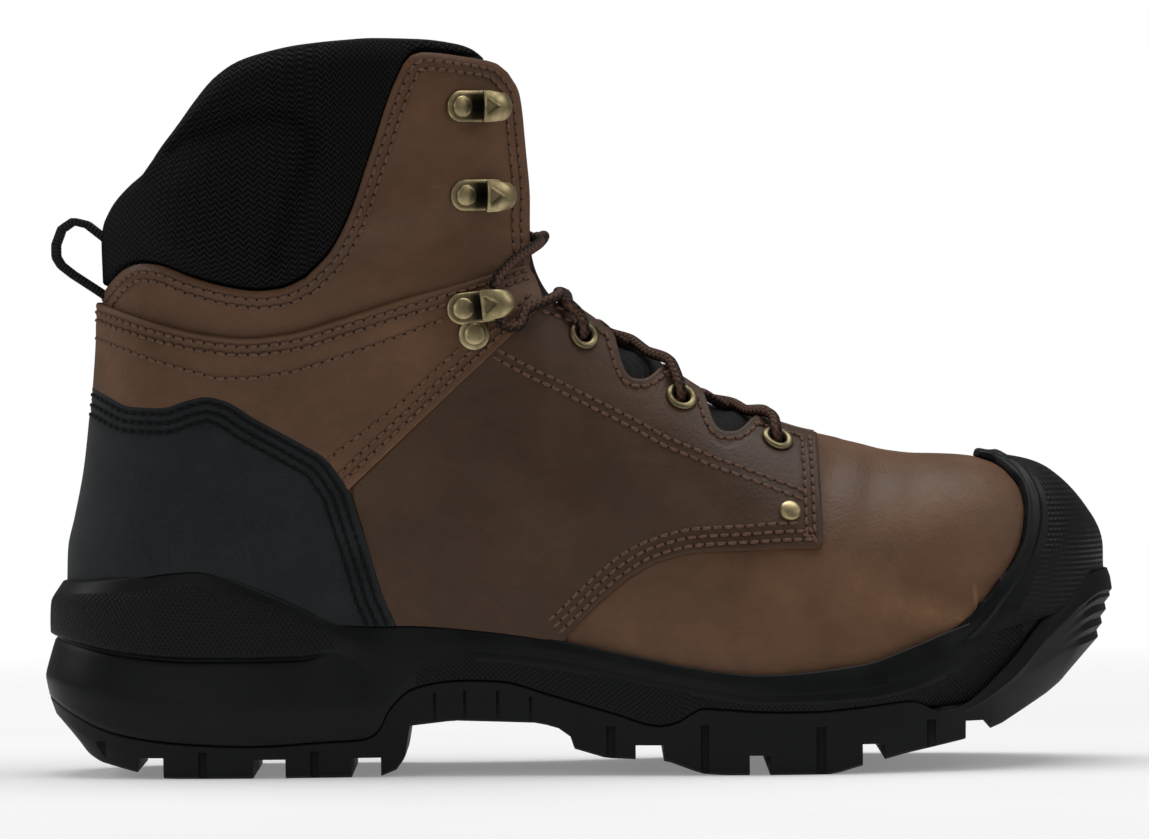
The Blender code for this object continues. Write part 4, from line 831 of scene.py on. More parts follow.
def rubber_look(name, colours, roughness, pattern="plain"):
    """Moulded rubber: near black with a light bloom, and the moulded pattern of its place."""
    paint = Paint(name, colours.rubber, roughness, specular=0.16)
    at = paint.where()
    bloom = paint.noise(at, 60.0, 4.0, 0.6)
    grit = paint.noise(at, 2600.0, 2.0)
    pale = tinted(colours.rubber, 1.6, 0.0008)
    paint.colour(paint.ramp(bloom, (0.35, tuple(colours.rubber)), (0.75, pale)))
    paint.roughness(paint.ramp(bloom, (0.3, roughness - 0.06), (0.7, roughness + 0.08)))
    under = paint.bump(grit, 0.00008, 0.5)
    if pattern == "plain":
        return paint.material
    if pattern == "cap":
        rib = paint.wave(paint.axis(at, "Z"), 0.0015)
        aside_of = paint.maths("ABSOLUTE", paint.axis(at, "Y"))
        cross = paint.wave(paint.maths("SUBTRACT", paint.axis(at, "X"), aside_of), 0.0019)
        paint.bump(paint.maths("MULTIPLY_ADD", cross, 0.3, rib), 0.0004, 0.8, under)
        return paint.material
    along, up = paint.axis(paint.uv(), "X"), paint.axis(paint.uv(), "Y")
    slope = paint.maths("MULTIPLY", up, 1.0 if pattern == "knurl" else 0.7)
    one = paint.wave(paint.maths("ADD", along, slope), 1.5)
    two = paint.wave(paint.maths("SUBTRACT", along, slope), 1.5)
    paint.bump(paint.maths("MULTIPLY", one, two), 0.0005, 0.8, under)
    return paint.material


def mesh_look(name, colours):
    """Black zigzag mesh over foam."""
    paint = Paint(name, colours.collar, 0.8, specular=0.12)
    surface = paint.uv()
    along, up = paint.axis(surface, "X"), paint.axis(surface, "Y")
    zigzag = paint.maths("PINGPONG", along, 1.6)
    stripe = paint.wave(paint.maths("ADD", up, zigzag), 1.7)
    thread = paint.wave(along, 0.55)
    weave = paint.maths("MULTIPLY_ADD", thread, 0.25, stripe)
    pale = tinted(colours.collar, 6.0, 0.003)
    dark = tinted(colours.collar, 0.45)
    paint.colour(paint.ramp(weave, (0.2, dark), (0.62, tuple(colours.collar)), (1.0, pale)))
    paint.bump(weave, 0.0006, 0.9)
    return paint.material


def cloth_look(name, colour, pitch):
    """Plain woven cloth by Object coordinates."""
    paint = Paint(name, colour, 0.9, specular=0.2)
    at = paint.where()
    one = paint.wave(paint.maths("ADD", paint.axis(at, "X"), paint.axis(at, "Z")), pitch)
    two = paint.wave(paint.maths("SUBTRACT", paint.axis(at, "Y"), paint.axis(at, "Z")), pitch)
    weave = paint.maths("MULTIPLY", one, two)
    pale = tinted(colour, 2.0, 0.006)
    paint.colour(paint.ramp(weave, (0.1, tuple(colour)), (0.9, pale)))
    paint.bump(weave, 0.0004, 0.8)
    return paint.material


def webbing_look(name, colour):
    """Ribbed webbing on the piece's own UV."""
    paint = Paint(name, colour, 0.75, specular=0.25)
    surface = paint.uv()
    along, across = paint.axis(surface, "X"), paint.axis(surface, "Y")
    rib = paint.wave(along, 1.1)
    thread = paint.wave(across, 0.9)
    weave = paint.maths("MULTIPLY_ADD", thread, 0.5, rib)
    pale = tinted(colour, 2.6, 0.008)
    paint.colour(paint.ramp(weave, (0.2, tuple(colour)), (1.2, pale)))
    paint.bump(weave, 0.0005, 0.9)
    return paint.material


def brass_look(name, colours, tone=1.0):
    """Antique brass: darkened plating with brighter rubbed spots, and painted shade by the piece's own UV."""
    base = tinted(colours.brass, tone)
    paint = Paint(name, base, 0.4, metallic=0.95)
    at = paint.where()
    tarnish = paint.noise(at, 300.0, 4.0, 0.55)
    dark = tinted(base, 0.6)
    pale = tinted(base, 1.2)
    body = paint.ramp(tarnish, (0.32, dark), (0.52, base), (0.74, pale))
    # Painted shade: the share in the UV's X darkens the brass to near black in hollows, under the curl and between the
    # parts.
    paint.colour(paint.mix(paint.axis(paint.uv(), "X"), body, tinted(base, 0.06)))
    paint.roughness(paint.ramp(tarnish, (0.3, 0.46), (0.7, 0.32)))
    paint.bump(paint.noise(at, 1500.0, 2.0), 0.00003, 0.4)
    return paint.material


def braid_look(name, colours):
    """Round braid of brown and dark strands on the lace's own UV."""
    paint = Paint(name, colours.lace, 0.75, specular=0.25)
    surface = paint.uv()
    along, around = paint.axis(surface, "X"), paint.axis(surface, "Y")
    turn = paint.maths("MULTIPLY", around, 8.0)
    one = paint.wave(paint.maths("ADD", along, turn), 2.0)
    two = paint.wave(paint.maths("SUBTRACT", along, turn), 2.0)
    strand = paint.maths("MAXIMUM", one, two)
    dark = tinted(colours.lace, 0.12)
    pale = tinted(colours.lace, 1.6)
    stripe = paint.wave(around, 0.5)
    ply = paint.maths("MULTIPLY_ADD", stripe, 0.6, 0.2)
    tone = paint.maths("MULTIPLY_ADD", paint.maths("SUBTRACT", one, two), 0.28, ply)
    paint.colour(paint.ramp(tone, (0.30, dark), (0.62, tuple(colours.lace)), (0.95, pale)))
    paint.bump(strand, 0.0005, 0.9)
    return paint.material


def thread_look(name, colour):
    """Twisted sewing thread."""
    paint = Paint(name, colour, 0.75, specular=0.2)
    at = paint.where()
    twist = paint.noise(paint.scaled(at, (1.0, 1.0, 2.0)), 1500.0, 2.0)
    pale = tinted(colour, 1.4)
    dark = tinted(colour, 0.7)
    paint.colour(paint.ramp(twist, (0.35, dark), (0.65, pale)))
    return paint.material


# Leather body
def top_of_column(x):
    if x < FLAP_REAR[0][1]:
        return float(leather_line(x))
    if x <= FLAP_FRONT[0][1]:
        share = (x - FLAP_REAR[0][1]) / (FLAP_FRONT[0][1] - FLAP_REAR[0][1])
        return FLAP_REAR[0][0] + share * (FLAP_FRONT[0][0] - FLAP_REAR[0][0])
    if x < THROAT_LINE[-1][0]:
        return float(throat_edge(x))
    return float(ridge(x))


def foot_column(x_top, rows):
    """Side view of one column of the leather, from the feather edge up."""
    z_top = top_of_column(x_top)
    x_low = x_top + float(column_shift(x_top))
    at_back = x_top <= LEATHER_LINE[0][0]
    if at_back:
        x_low = float(back_edge(feather(-146)))
    z_low = float(feather(x_low))
    for _ in range(12):
        z_low = float(feather(x_low - tuck(x_low, z_low)))
    bow = 1 - ease((x_top - LEATHER_LINE[0][0]) / 60)
    crowd = ease((x_top + 10) / 85)
    t = np.arange(rows + 1) / rows
    t = t + crowd * (np.sin(0.5 * math.pi * t) - t)
    z = z_low + (z_top - z_low) * t
    chord = back_edge(z_low) + (back_edge(z_top) - back_edge(z_low)) * t
    x = x_low + (x_top - x_low) * t + bow * (back_edge(z) - chord)
    if at_back:
        x = back_edge(z)
    return np.stack([x - tuck(x, z), z], axis=1)


def flap_columns(base, rows):
    """Side view of the front flap, above the columns whose top points are in base."""
    rear, front, top = smooth(FLAP_REAR), smooth(FLAP_FRONT), smooth(FLAP_TOP)
    columns = []
    for k, (x_base, z_base) in enumerate(base):
        share = k / (len(base) - 1)
        x_top = FLAP_TOP[0][0] + share * (FLAP_TOP[-1][0] - FLAP_TOP[0][0])
        z = z_base + (float(top(x_top)) - z_base) * np.arange(rows + 1) / rows
        x = (1 - share) * rear(z) + share * front(z)
        x[0] = x_base
        columns.append(np.stack([x, z], axis=1))
    return columns


# Soft troughs of the leather: x and height of each end, width, depth
CREASES = (
    (74, 88, 62, 52, 9.0, 0.55),
    (86, 86, 78, 48, 8.0, 0.45),
    (98, 82, 92, 50, 8.0, 0.35),
    (-20, 112, -62, 70, 12.0, 0.5),
    (-30, 84, -4, 60, 12.0, 0.45),
    (-60, 150, -20, 158, 13.0, 0.55),
    (-62, 168, -40, 176, 12.0, 0.35),
    (24, 90, 44, 72, 11.0, 0.4),
)


def crease(grid):
    """Depth of the leather's soft troughs over a grid of side view places."""
    x, z = grid[..., 0], grid[..., 1]
    sunk = np.zeros(x.shape)
    for ax, az, bx, bz, width, depth in CREASES:
        run = np.array((bx - ax, bz - az), float)
        share = ((x - ax) * run[0] + (z - az) * run[1]) / (run @ run)
        off = np.hypot(x - ax - np.clip(share, 0, 1) * run[0], z - az - np.clip(share, 0, 1) * run[1])
        sunk += depth * np.exp(-((off / (0.5 * width)) ** 2))
        sunk -= 0.45 * depth * np.exp(-(((off - 0.9 * width) / (0.45 * width)) ** 2))
    return sunk


def skin(grid, side):
    """Points of the leather's outer face over a grid of side view places."""
    x, z = grid[..., 0], grid[..., 1]
    y = centre(x) + side * half_width(x, z)
    return np.stack([x, y, z], axis=-1)


class Seat:
    """Frame on the leather: u forward along it, v up along it, n outwards."""

    def __init__(self, x, z, side, angle=0.0):
        def at(px, pz):
            return skin(np.array((px, pz), float), side)

        self.place = at(x, z)
        forward = at(x + 2, z) - at(x - 2, z)
        upward = at(x, z + 2) - at(x, z - 2)
        self.n = np.cross(forward, upward) * -side
        self.n /= np.linalg.norm(self.n)
        u = forward / np.linalg.norm(forward)
        v = np.cross(self.n, u) * -side
        turn = math.radians(angle)
        self.u = u * math.cos(turn) + v * math.sin(turn)
        self.v = v * math.cos(turn) - u * math.sin(turn)

    def at(self, u, v, n):
        return self.place + self.u * u + self.v * v + self.n * n


def punch(made):
    """Opens the eyelet holes of a leather piece."""
    shape = bmesh.new()
    shape.from_mesh(made.data)
    middles = [Seat(x, z, side).place * MM for side in (LATERAL, MEDIAL) for x, z in EYELETS]
    gone = []
    for face in shape.faces:
        place_of = np.array(face.calc_center_median())
        if any(np.linalg.norm(place_of - middle) < EYELET_HOLE * MM for middle in middles):
            gone.append(face)
    bmesh.ops.delete(shape, geom=gone, context="FACES")
    shape.to_mesh(made.data)
    shape.free()


def build_upper(looks):
    back = spread((*COLUMNS_BACK, FLAP_REAR[0][1]), 5)
    flap_base = np.linspace(FLAP_REAR[0][1], FLAP_FRONT[0][1], FLAP_COLUMNS)
    throat = np.linspace(FLAP_FRONT[0][1], THROAT_LINE[-1][0], THROAT_COLUMNS)
    toe = spread(COLUMNS_TOE, 5)
    places = np.concatenate([back[:-1], flap_base, throat[1:-1], toe])
    foot = np.array([foot_column(x, FOOT_ROWS) for x in places])
    first = len(back) - 1
    flap = np.array(flap_columns(foot[first : first + len(flap_base), -1], FLAP_ROWS))
    points, faces = [], []
    for side in (LATERAL, MEDIAL):
        for block in (foot, flap):
            placed = skin(block, side)
            outward = grid_normals(placed) * -side
            free = ease((block[..., 0] + 140) / 12) * (1 - ease((block[..., 0] - 104) / 8))
            placed = placed - outward * (crease(block) * free)[..., None]
            faces += grid_faces(*block.shape[:2], len(points), side == LATERAL)
            points += placed.reshape(-1, 3).tolist()
    made = make_object("upper_leather", points, faces, [looks["vamp"], looks["edge"], looks["lining"]], 0.02, False)
    punch(made)
    wall = made.modifiers.new("wall", "SOLIDIFY")
    wall.thickness = WALL * MM
    wall.offset = -1.0
    wall.use_quality_normals = True
    wall.material_offset = 2
    wall.material_offset_rim = 1
    return dressed(applied(made), "upper")


# Panels that lie on the leather
def shares(length, count, crowd=False):
    """Shares of a length, close together by both ends."""
    near = np.array(EDGE_STEPS) / length
    inner = np.linspace(near[-1], 1 - near[-1], count)
    if crowd:
        inner = near[-1] + (1 - 2 * near[-1]) * (1 - np.cos(0.5 * np.pi * np.linspace(0, 1, count)))
    return np.concatenate([near[:-1], inner, (1 - near[:-1])[::-1]])


def patch(bottom, top, rear, front, u, v):
    """Side view grid between four edges; u runs from rear to front and v from bottom to top."""
    low, high = place(u, bottom)[:, None], place(u, top)[:, None]
    left, right = place(v, rear)[None], place(v, front)[None]
    u, v = u[:, None, None], v[None, :, None]
    corners = (1 - u) * ((1 - v) * low[:1] + v * high[:1]) + u * ((1 - v) * low[-1:] + v * high[-1:])
    return (1 - v) * low + v * high + (1 - u) * left + u * right - corners


def edge_distance(grid, borders):
    """Distance of each grid point to the nearest of the named borders."""
    from_rear, from_low = run_length(grid), run_length(grid, 1)
    gaps = {
        "rear": from_rear,
        "front": from_rear[-1:] - from_rear,
        "bottom": from_low,
        "top": from_low[:, -1:] - from_low,
    }
    return np.min([gaps[name] for name in borders], axis=0)


def shell(outer, inner):
    """Points and faces of a closed piece between two grids, and 1 for each face of its border."""
    columns, rows = outer.shape[:2]
    points = np.concatenate([outer.reshape(-1, 3), inner.reshape(-1, 3)])
    faces = grid_faces(columns, rows) + grid_faces(columns, rows, columns * rows, True)
    walls = len(faces)
    border = [(c, 0) for c in range(columns)] + [(columns - 1, r) for r in range(1, rows)]
    border += [(c, rows - 1) for c in range(columns - 2, -1, -1)] + [(0, r) for r in range(rows - 2, 0, -1)]
    for (ca, ra), (cb, rb) in zip(border, border[1:] + border[:1]):
        a, b = ca * rows + ra, cb * rows + rb
        faces.append((a, b, b + columns * rows, a + columns * rows))
    return points, faces, [0] * walls + [1] * (len(faces) - walls)


def lay(name, placed, outward, rise, look, edge_look):
    """Closed piece on a grid of the leather: its outer face stands off by rise."""
    points, faces, indices = shell(placed + outward * (PANEL_FACE + rise)[..., None], placed + outward * PANEL_BACK)
    return make_object(name, points, faces, [look, edge_look], 0.004, indices=indices)


def rounded(distance, radius, edge):
    """Round shoulder of a piece, from the share edge at its border up to 1."""
    return edge + (1 - edge) * np.sqrt(1 - (1 - np.clip(distance / radius, 0.0, 1.0)) ** 2)


def pressed(distance, seams, depth):
    """Shallow furrows where rows of stitches pull the leather down."""
    return sum(depth * np.exp(-(((distance - seam) / FURROW) ** 2)) for seam in seams)


def outwards(placed):
    """Unit normals of a grid of points, away from its middle."""
    outward = grid_normals(placed)
    return outward if np.sum(outward * (placed - placed.mean(axis=(0, 1)))) > 0 else -outward


def wrapped(grid):
    """Lateral and medial halves of a grid that meet at the back, as one grid, with outward normals."""
    placed = np.concatenate([skin(grid, LATERAL)[::-1], skin(grid, MEDIAL)[1:]])
    return placed, outwards(placed)


def both(values):
    return np.concatenate([values[::-1], values[1:]])


def under_rim(x):
    """Hidden lower edge of the panels, below the rim of the midsole."""
    return sole_rim(x) - 1.0


def counter_front():
    """Front edge of the heel counter, from the sole up."""
    return ((COUNTER_FOOT, sole_rim(COUNTER_FOOT)), (-56.5, 52.1), (-60.7, 66.7), COUNTER_TOP[-1])


def build_counter(looks):
    back = upright(back_edge, under_rim(-150.0), COUNTER_TOP[0][1], 20)
    bottom = [back[0]] + traced(under_rim, -146.0, COUNTER_FOOT, 40)
    top = [back[-1]] + traced(counter_top, BACK_X, COUNTER_TOP[-1][0], 60)
    grid = patch(bottom, top, back, even(counter_front(), 30), shares(96, 70, crowd=True), shares(60, 44))
    grid[0, :, 0] = back_edge(grid[0, :, 1])
    distance = edge_distance(grid, ("front", "top"))
    rise = (COUNTER_THICKNESS + 0.25) * rounded(distance, 1.2, 0.55) - pressed(distance, COUNTER_SEAMS, 0.4)
    placed, outward = wrapped(grid)
    made = lay("heel_counter_nubuck", placed, outward, both(np.maximum(rise, 0)), looks["nubuck"], looks["nubuck"])
    return dressed(made, "heel_counter")


def build_ankle(looks):
    back = upright(back_edge, COUNTER_TOP[0][1] - 1.0, ANKLE_TOP[0][1], 14)
    bottom = [back[0]] + traced(lambda x: counter_top(x) - 1.2, BACK_X, COUNTER_TOP[-1][0], 60)
    top = [back[-1]] + traced(ankle_top, -136.5, ANKLE_TOP[-2][0], 60)
    front = even(((COUNTER_TOP[-1][0], 82.0), ANKLE_TOP[-1], (-12.6, 142.0), ANKLE_TOP[-2]), 40)
    grid = patch(bottom, top, back, front, shares(120, 84, crowd=True), shares(60, 36))
    grid[0, :, 0] = back_edge(grid[0, :, 1])
    distance = edge_distance(grid, ("front", "top"))
    rise = ANKLE_THICKNESS * rounded(distance, 1.0, 0.6) - pressed(distance, (2.3, 4.7), 0.3)
    sunk = crease(grid)
    placed, outward = wrapped(grid)
    placed = placed - outward * both(sunk)[..., None]
    made = lay("ankle_leather", placed, outward, both(np.maximum(rise, 0)), looks["leather"], looks["edge"])
    return dressed(made, "ankle_panel")


def build_quarters(looks):
    end_x, end_z = QUARTER_LOW[-1]
    bottom = traced(under_rim, COUNTER_FOOT, QUARTER_LOW[0][0], 20)
    bottom += traced(quarter_low, QUARTER_LOW[0][0] + 0.6, end_x - 1.2, 60)
    bottom += [(end_x - 0.4, end_z + 0.3), (end_x, end_z + 1.2)]
    top = traced(lambda x: throat_line(x) - 0.5, -9.2, 68.6, 120)
    front = even((bottom[-1], (69.4, 80.0), top[-1]), 30)
    rear = even((*counter_front()[:-1], (-64.6, 80.5), (-64.4, 83.0), top[0]), 60)
    grid = patch(bottom, top, rear, front, shares(90, 150), shares(60, 44))
    drawn = ease((grid[..., 1] - throat_line(grid[..., 0]) + 26) / 25.5)
    grid[..., 1] -= scallop(grid[..., 0]) * drawn
    distance = edge_distance(grid, ("front", "top", "bottom"))
    open_low = ease((grid[..., 0] + 6) / 6)
    below = edge_distance(grid, ("front", "top"))
    distance = below + (distance - below) * open_low
    rise = QUARTER_THICKNESS * rounded(distance, 0.9, 0.6) - pressed(distance, PAIR_SEAMS, 0.25)
    sunk = crease(grid)
    for side, word in SIDES:
        placed = skin(grid, side)
        outward = grid_normals(placed) * -side
        placed = placed - outward * sunk[..., None]
        made = lay(f"quarter_leather_{word}", placed, outward, np.maximum(rise, 0), looks["quarter"], looks["edge"])
        punch(made)
        dressed(made, f"quarter_{word}")


def build_toe_cap(looks):
    """Fan of lines from the low rear corners to the middle of the toe."""
    corner = np.array(CAP_CORNER)
    top_z, top_x = CAP_REAR[-1]
    tip = [(TOE_TIP, float(z)) for z in np.linspace(under_rim(TOE_TIP), RIDGE[-1][1], 6)]
    crest = tip + [(x, float(ridge(x))) for x in TOE_TIP - (TOE_TIP - top_x) * np.linspace(0.02, 1, 50) ** 2]
    t = shares(60, 70)
    s = np.sin(0.5 * np.pi * np.linspace(0, 1, 64))
    middle = place(t, crest)
    up = np.linspace(corner[1], top_z, 220)
    rear = np.stack([cap_rear(up) - 0.9 * np.maximum(0.0, CAP_REAR[0][0] - up), up], axis=1)
    bulge = place(s, rear) - (corner + s[:, None] * (rear[-1] - corner))
    grid = corner + s[:, None, None] * (middle[None] - corner) + bulge[:, None] * t[None, :, None] ** 2
    grid[..., 0] = np.minimum(grid[..., 0], TOE_TIP)
    grid[-1] = middle
    distance = edge_distance(grid, ("top",))
    extra, width, run = CAP_STRIP
    strip = extra * (1 - ease((distance - width) / run))
    height, at, half = CAP_BEAD
    bead = height * np.exp(-(((distance - at) / half) ** 2))
    rise = (CAP_THICKNESS + strip + bead) * rounded(distance, 1.6, 0.35)
    crown = ease((s[:, None] - 0.25) / 0.7) * (0.5 + 0.5 * ease((grid[..., 1] - 54) / 12))
    rise = rise + (CAP_SWELL + CAP_CROWN * crown) * ease((distance - 1.0) / 20)
    rise = rise * ease(np.linalg.norm(grid - corner, axis=2) / 6)
    rise = rise * (1 - 0.75 * (1 - ease((grid[..., 1] - 43) / 10)) * (1 - ease((distance - 2) / 6)))
    placed = np.concatenate([skin(grid, LATERAL), skin(grid, MEDIAL)[::-1][1:]])
    placed[len(s) - 1, :, 1] = centre(placed[len(s) - 1, :, 0])
    rise = np.concatenate([rise, rise[::-1][1:]])
    made = lay("toe_cap_rubber", placed, outwards(placed), rise, looks["rubber_cap"], looks["rubber"])
    for face in made.data.polygons:
        x, _, z = face.center / MM
        if x < cap_ridge(z):
            face.material_index = 1
    return dressed(made, "toe_cap")


# Sole: loops around the foot through a ring of places on the plan outline
RING_X = spread((-HALF_LENGTH + 0.25, *STATIONS, HALF_LENGTH - 0.35), 4)
RING_X = np.concatenate([[-HALF_LENGTH], RING_X, [HALF_LENGTH]])
RING = [(x, LATERAL) for x in RING_X] + [(x, MEDIAL) for x in RING_X[-2:0:-1]]
COUNT = len(RING)


def plan_point(x, side):
    angle = math.acos(max(-1.0, min(1.0, -x / HALF_LENGTH)))
    around = []
    for a in (angle - 1e-3, angle, angle + 1e-3):
        px = -HALF_LENGTH * math.cos(a)
        turn = side if math.sin(a) >= 0 else -side
        around.append((px, float(centre(px)) + turn * float(sole_half(px))))
    (ax, ay), spot, (bx, by) = around
    run = math.hypot(bx - ax, by - ay)
    return (*spot, -side * (by - ay) / run, side * (bx - ax) / run)


RING_PLAN = np.array([plan_point(x, side) for x, side in RING])
STATION = np.array([x for x, _ in RING])


def loop(offset, height, follow=False):
    """One loop: the plan outline moved outwards by offset(x), at height(x) of the station or of the point."""
    spot = RING_PLAN[:, :2] + RING_PLAN[:, 2:] * (np.zeros(COUNT) + offset(STATION))[:, None]
    z = height(spot[:, 0] if follow else STATION)
    return np.column_stack([spot, np.zeros(COUNT) + z])


def seat_loop(height, gap):
    """Loop that follows the leather at height(x), moved outwards by gap."""
    z = np.zeros(COUNT) + height(STATION)

    def inside(offset):
        x, y = (RING_PLAN[:, :2] + RING_PLAN[:, 2:] * offset[:, None]).T
        level_z = np.maximum(z, feather(x) + 0.2)
        return (np.abs(y - centre(x)) < half_width(x, level_z)) & (x > back_edge(level_z)) & (x < TOE_TIP)

    near, _ = halved(inside, np.full(COUNT, 4.0), np.full(COUNT, -26.0))
    spot = RING_PLAN[:, :2] + RING_PLAN[:, 2:] * (near + gap)[:, None]
    return np.column_stack([spot, z])


def level(column):
    return smooth(MIDSOLE, column)


def at_toe(x):
    return ease((x - 96) / 10)


def tray(x):
    return parting(x) - 0.5 + at_toe(x) * (toe_tray(x) - parting(x) + 0.5)


def midsole_foot(x):
    return parting(x) + 0.2 + at_toe(x) * (level(1)(x) - parting(x) - 0.2)


rim_line = level(9)


def sole_rim(x):
    """Height of the rim of the midsole beside the leather."""
    return float(rim_line(x + 6.7 * ease((x - 110) / 38) - 6.0 * ease((-120 - x) / 28)))


def rounded_loops(loops, parts):
    """Loops with more of them between, on a smooth curve through each point's levels."""
    loops = np.array(loops)
    slope = np.zeros_like(loops)
    slope[1:-1] = 0.5 * (loops[2:] - loops[:-2])
    slope[0], slope[-1] = loops[1] - loops[0], loops[-1] - loops[-2]
    steep = np.maximum(np.linalg.norm(slope, axis=2, keepdims=True), 1e-9)
    made = []
    for k in range(len(loops) - 1):
        a, b = loops[k], loops[k + 1]
        gap = np.linalg.norm(b - a, axis=1, keepdims=True)
        one = 0.6 * slope[k] * np.minimum(1.0, gap / steep[k])
        two = 0.6 * slope[k + 1] * np.minimum(1.0, gap / steep[k + 1])
        made += [blend(t, a, b, one, two) for t in np.arange(parts) / parts]
    return made + [loops[-1]]


def bowl(name, loops, look, chooser=None):
    """Closed solid through loops in order, with UVs in millimetres along and up the wall."""
    loops = np.array(loops)
    along = run_length(loops[len(loops) // 2])
    up = run_length(loops)
    uv = np.stack([np.broadcast_to(along, up.shape), up], axis=-1).reshape(-1, 2)
    faces = hoop_faces(len(loops), COUNT)
    middles = (0.5 * (loops[:-1] + np.roll(loops[1:], -1, axis=1))).reshape(-1, 3)
    indices = [chooser(x, z) if chooser else 0 for x, _, z in middles]
    for start in (0, (len(loops) - 1) * COUNT):
        for i in range(COUNT // 2):
            a, b = start + i, start + i + 1
            c, d = start + (COUNT - i - 1) % COUNT, start + (COUNT - i) % COUNT
            faces.append(tuple(dict.fromkeys((a, b, c, d))))
            indices.append(0)
    return make_object(name, loops.reshape(-1, 3), faces, look, uv=uv, indices=indices)


def at_heel(x):
    return 1 - ease((x + 79) / 9)


def build_midsole(looks):
    lip, lip_offset = level(5), level(6)
    rim = [
        loop(level(2), midsole_foot),
        loop(level(4), level(3)),
        loop(lambda x: lip_offset(x) + 0.2 * at_heel(x), lambda x: lip(x) - 1.5 * at_heel(x) - 0.3),
        loop(lambda x: lip_offset(x) - 0.5 * at_heel(x), lambda x: lip(x) - 0.6 * at_heel(x) - 0.1),
        loop(lambda x: lip_offset(x) + 1.5 * at_heel(x), lambda x: lip(x) + 0.5 * at_heel(x) + 0.1),
        loop(level(8), level(7)),
        loop(level(10), rim_line),
    ]
    wall = rounded_loops(rim, 5)
    inner = [seat_loop(lambda x: rim_line(x) - 0.5, 0.25), seat_loop(lambda x: floor_level(x) + 1.0, 0.4)]
    under = loop(lambda x: level(2)(x) - 3.0, lambda x: tray(x) + 0.3 + 0.5 * at_toe(x))
    crest = level(7)

    def pattern(x, z):
        if -47 < x < 128 and z < rand_ridge(x) - 0.4:
            return 1
        if x < -72 and lip(x) + 0.5 < z < crest(x) + 0.4 * (rim_line(x) - crest(x)):
            return 2
        return 0

    looks_here = [looks["rubber"], looks["rubber_knurl"], looks["rubber_slant"]]
    return dressed(bowl("midsole_rubber", [under, *wall, *inner], looks_here, pattern), "midsole")


def boxes(name, spans):
    """One mesh of separate boxes, each given by its low and high corners."""
    points, faces = [], []
    for low, high in spans:
        start = len(points)
        points += [(x, y, z) for x in (low[0], high[0]) for y in (low[1], high[1]) for z in (low[2], high[2])]
        for quad in ((0, 1, 3, 2), (4, 6, 7, 5), (0, 4, 5, 1), (2, 3, 7, 6), (0, 2, 6, 4), (1, 5, 7, 3)):
            faces.append(tuple(start + i for i in quad))
    return make_object(name, points, faces, [])


def toe_ribs(low, high, count=14):
    """Loops between two heights of the bumper, with rounded ribs across the toe."""
    ribs, depth, start, run = TOE_RIBS
    made = []
    for t in np.arange(1, count) / count:
        dent = 1.0 - math.cos(2 * math.pi * ribs * t)
        made.append(low + (high - low) * t)
        made[-1][:, :2] -= RING_PLAN[:, 2:] * (depth * dent * ease((STATION - start) / run))[:, None]
    return made


def build_outsole(looks):
    edge = {name: smooth(OUTSOLE, k) for k, name in enumerate(("low", "z", "mid", "top"), 1)}
    bumper = smooth(((-155, 0.0), (100, 0.0), (130, 4.4), (155, 5.6)))
    lip = smooth(((-155, 0.3), (100, 0.3), (112, 1.2), (122, 2.2), (136, 2.4), (147, 2.0), (155, 1.4)))
    wall_middle = smooth(((96, 18.0), (110, 19.0), (130, 33.0), (155, 46.0)))
    tray_edge = smooth(((-155, -3.8), (100, -3.8), (118, -3.8), (130, -4.8), (155, -9.2)))
    side_low = loop(edge["mid"], edge["z"])
    side_high = loop(edge["top"], lambda x: parting(x) - 0.6 - bumper(x))
    loops = [
        loop(lambda x: edge["low"](x) - 1.2, ground, follow=True),
        loop(edge["low"], lambda x: ground(x) + 0.7, follow=True),
        side_low,
        *toe_ribs(side_low, side_high),
        side_high,
        loop(lambda x: edge["top"](x) - 0.35 * lip(x), lambda x: parting(x) - 0.5 - 0.4 * bumper(x)),
        loop(lambda x: edge["top"](x) - lip(x), lambda x: parting(x) - 0.2),
        loop(lambda x: np.minimum(-2.2, edge["top"](x) - lip(x) - 0.7), lambda x: parting(x) - 0.35),
        loop(
            lambda x: -3.2 + 0.2 * at_toe(x),
            lambda x: parting(x) - 0.45 + at_toe(x) * (wall_middle(x) - parting(x) + 0.45),
        ),
        loop(tray_edge, tray),
    ]
    made = bowl("outsole_rubber", loops, [looks["outsole"]])
    spans = [((start, -70, -5), (end, 70, top)) for start, end, top in CROSS_GROOVES]
    half = LONG_GROOVE_WIDTH / 2
    spans += [((start + 0.5, y - half, -5), (end - 0.5, y + half, top)) for start, end, y, top in LONG_GROOVES]
    for x, width, depth, top in SIDE_NOTCHES:
        for side in (LATERAL, MEDIAL):
            inner = float(centre(x)) + side * (float(sole_half(x)) - depth)
            low, high = sorted((inner, 72.0 * side))
            spans.append(((x - width / 2, low, -5), (x + width / 2, high, top)))
    cutter = boxes("tread_cutter", spans)
    grooves = made.modifiers.new("tread", "BOOLEAN")
    grooves.operation = "DIFFERENCE"
    grooves.solver = "EXACT"
    grooves.use_self = True
    grooves.object = cutter
    applied(made)
    bpy.data.objects.remove(cutter, do_unlink=True)
    made.data.shade_smooth()
    made.data.set_sharp_from_angle(angle=math.radians(40))
    return dressed(made, "outsole")


def build_insole(looks):
    gap = -WALL - 0.9 - 3.0 * ease((STATION - 105) / 40)
    levels = ((0.5, 0.0), (4.2, 0.0), (5.0, 0.9), (5.2, 4.0))
    loops = [seat_loop(lambda x: floor_level(x) + rise, gap - inset) for rise, inset in levels]
    return dressed(bowl("insole_foam", loops, [looks["lining"]]), "insole")


# Padded collar
def leather_top(x):
    if x < FLAP_REAR[0][1]:
        return float(leather_line(x))
    if x < FLAP_REAR[-1][1]:
        return float(flap_rear_height(x))
    return float(flap_top(x))


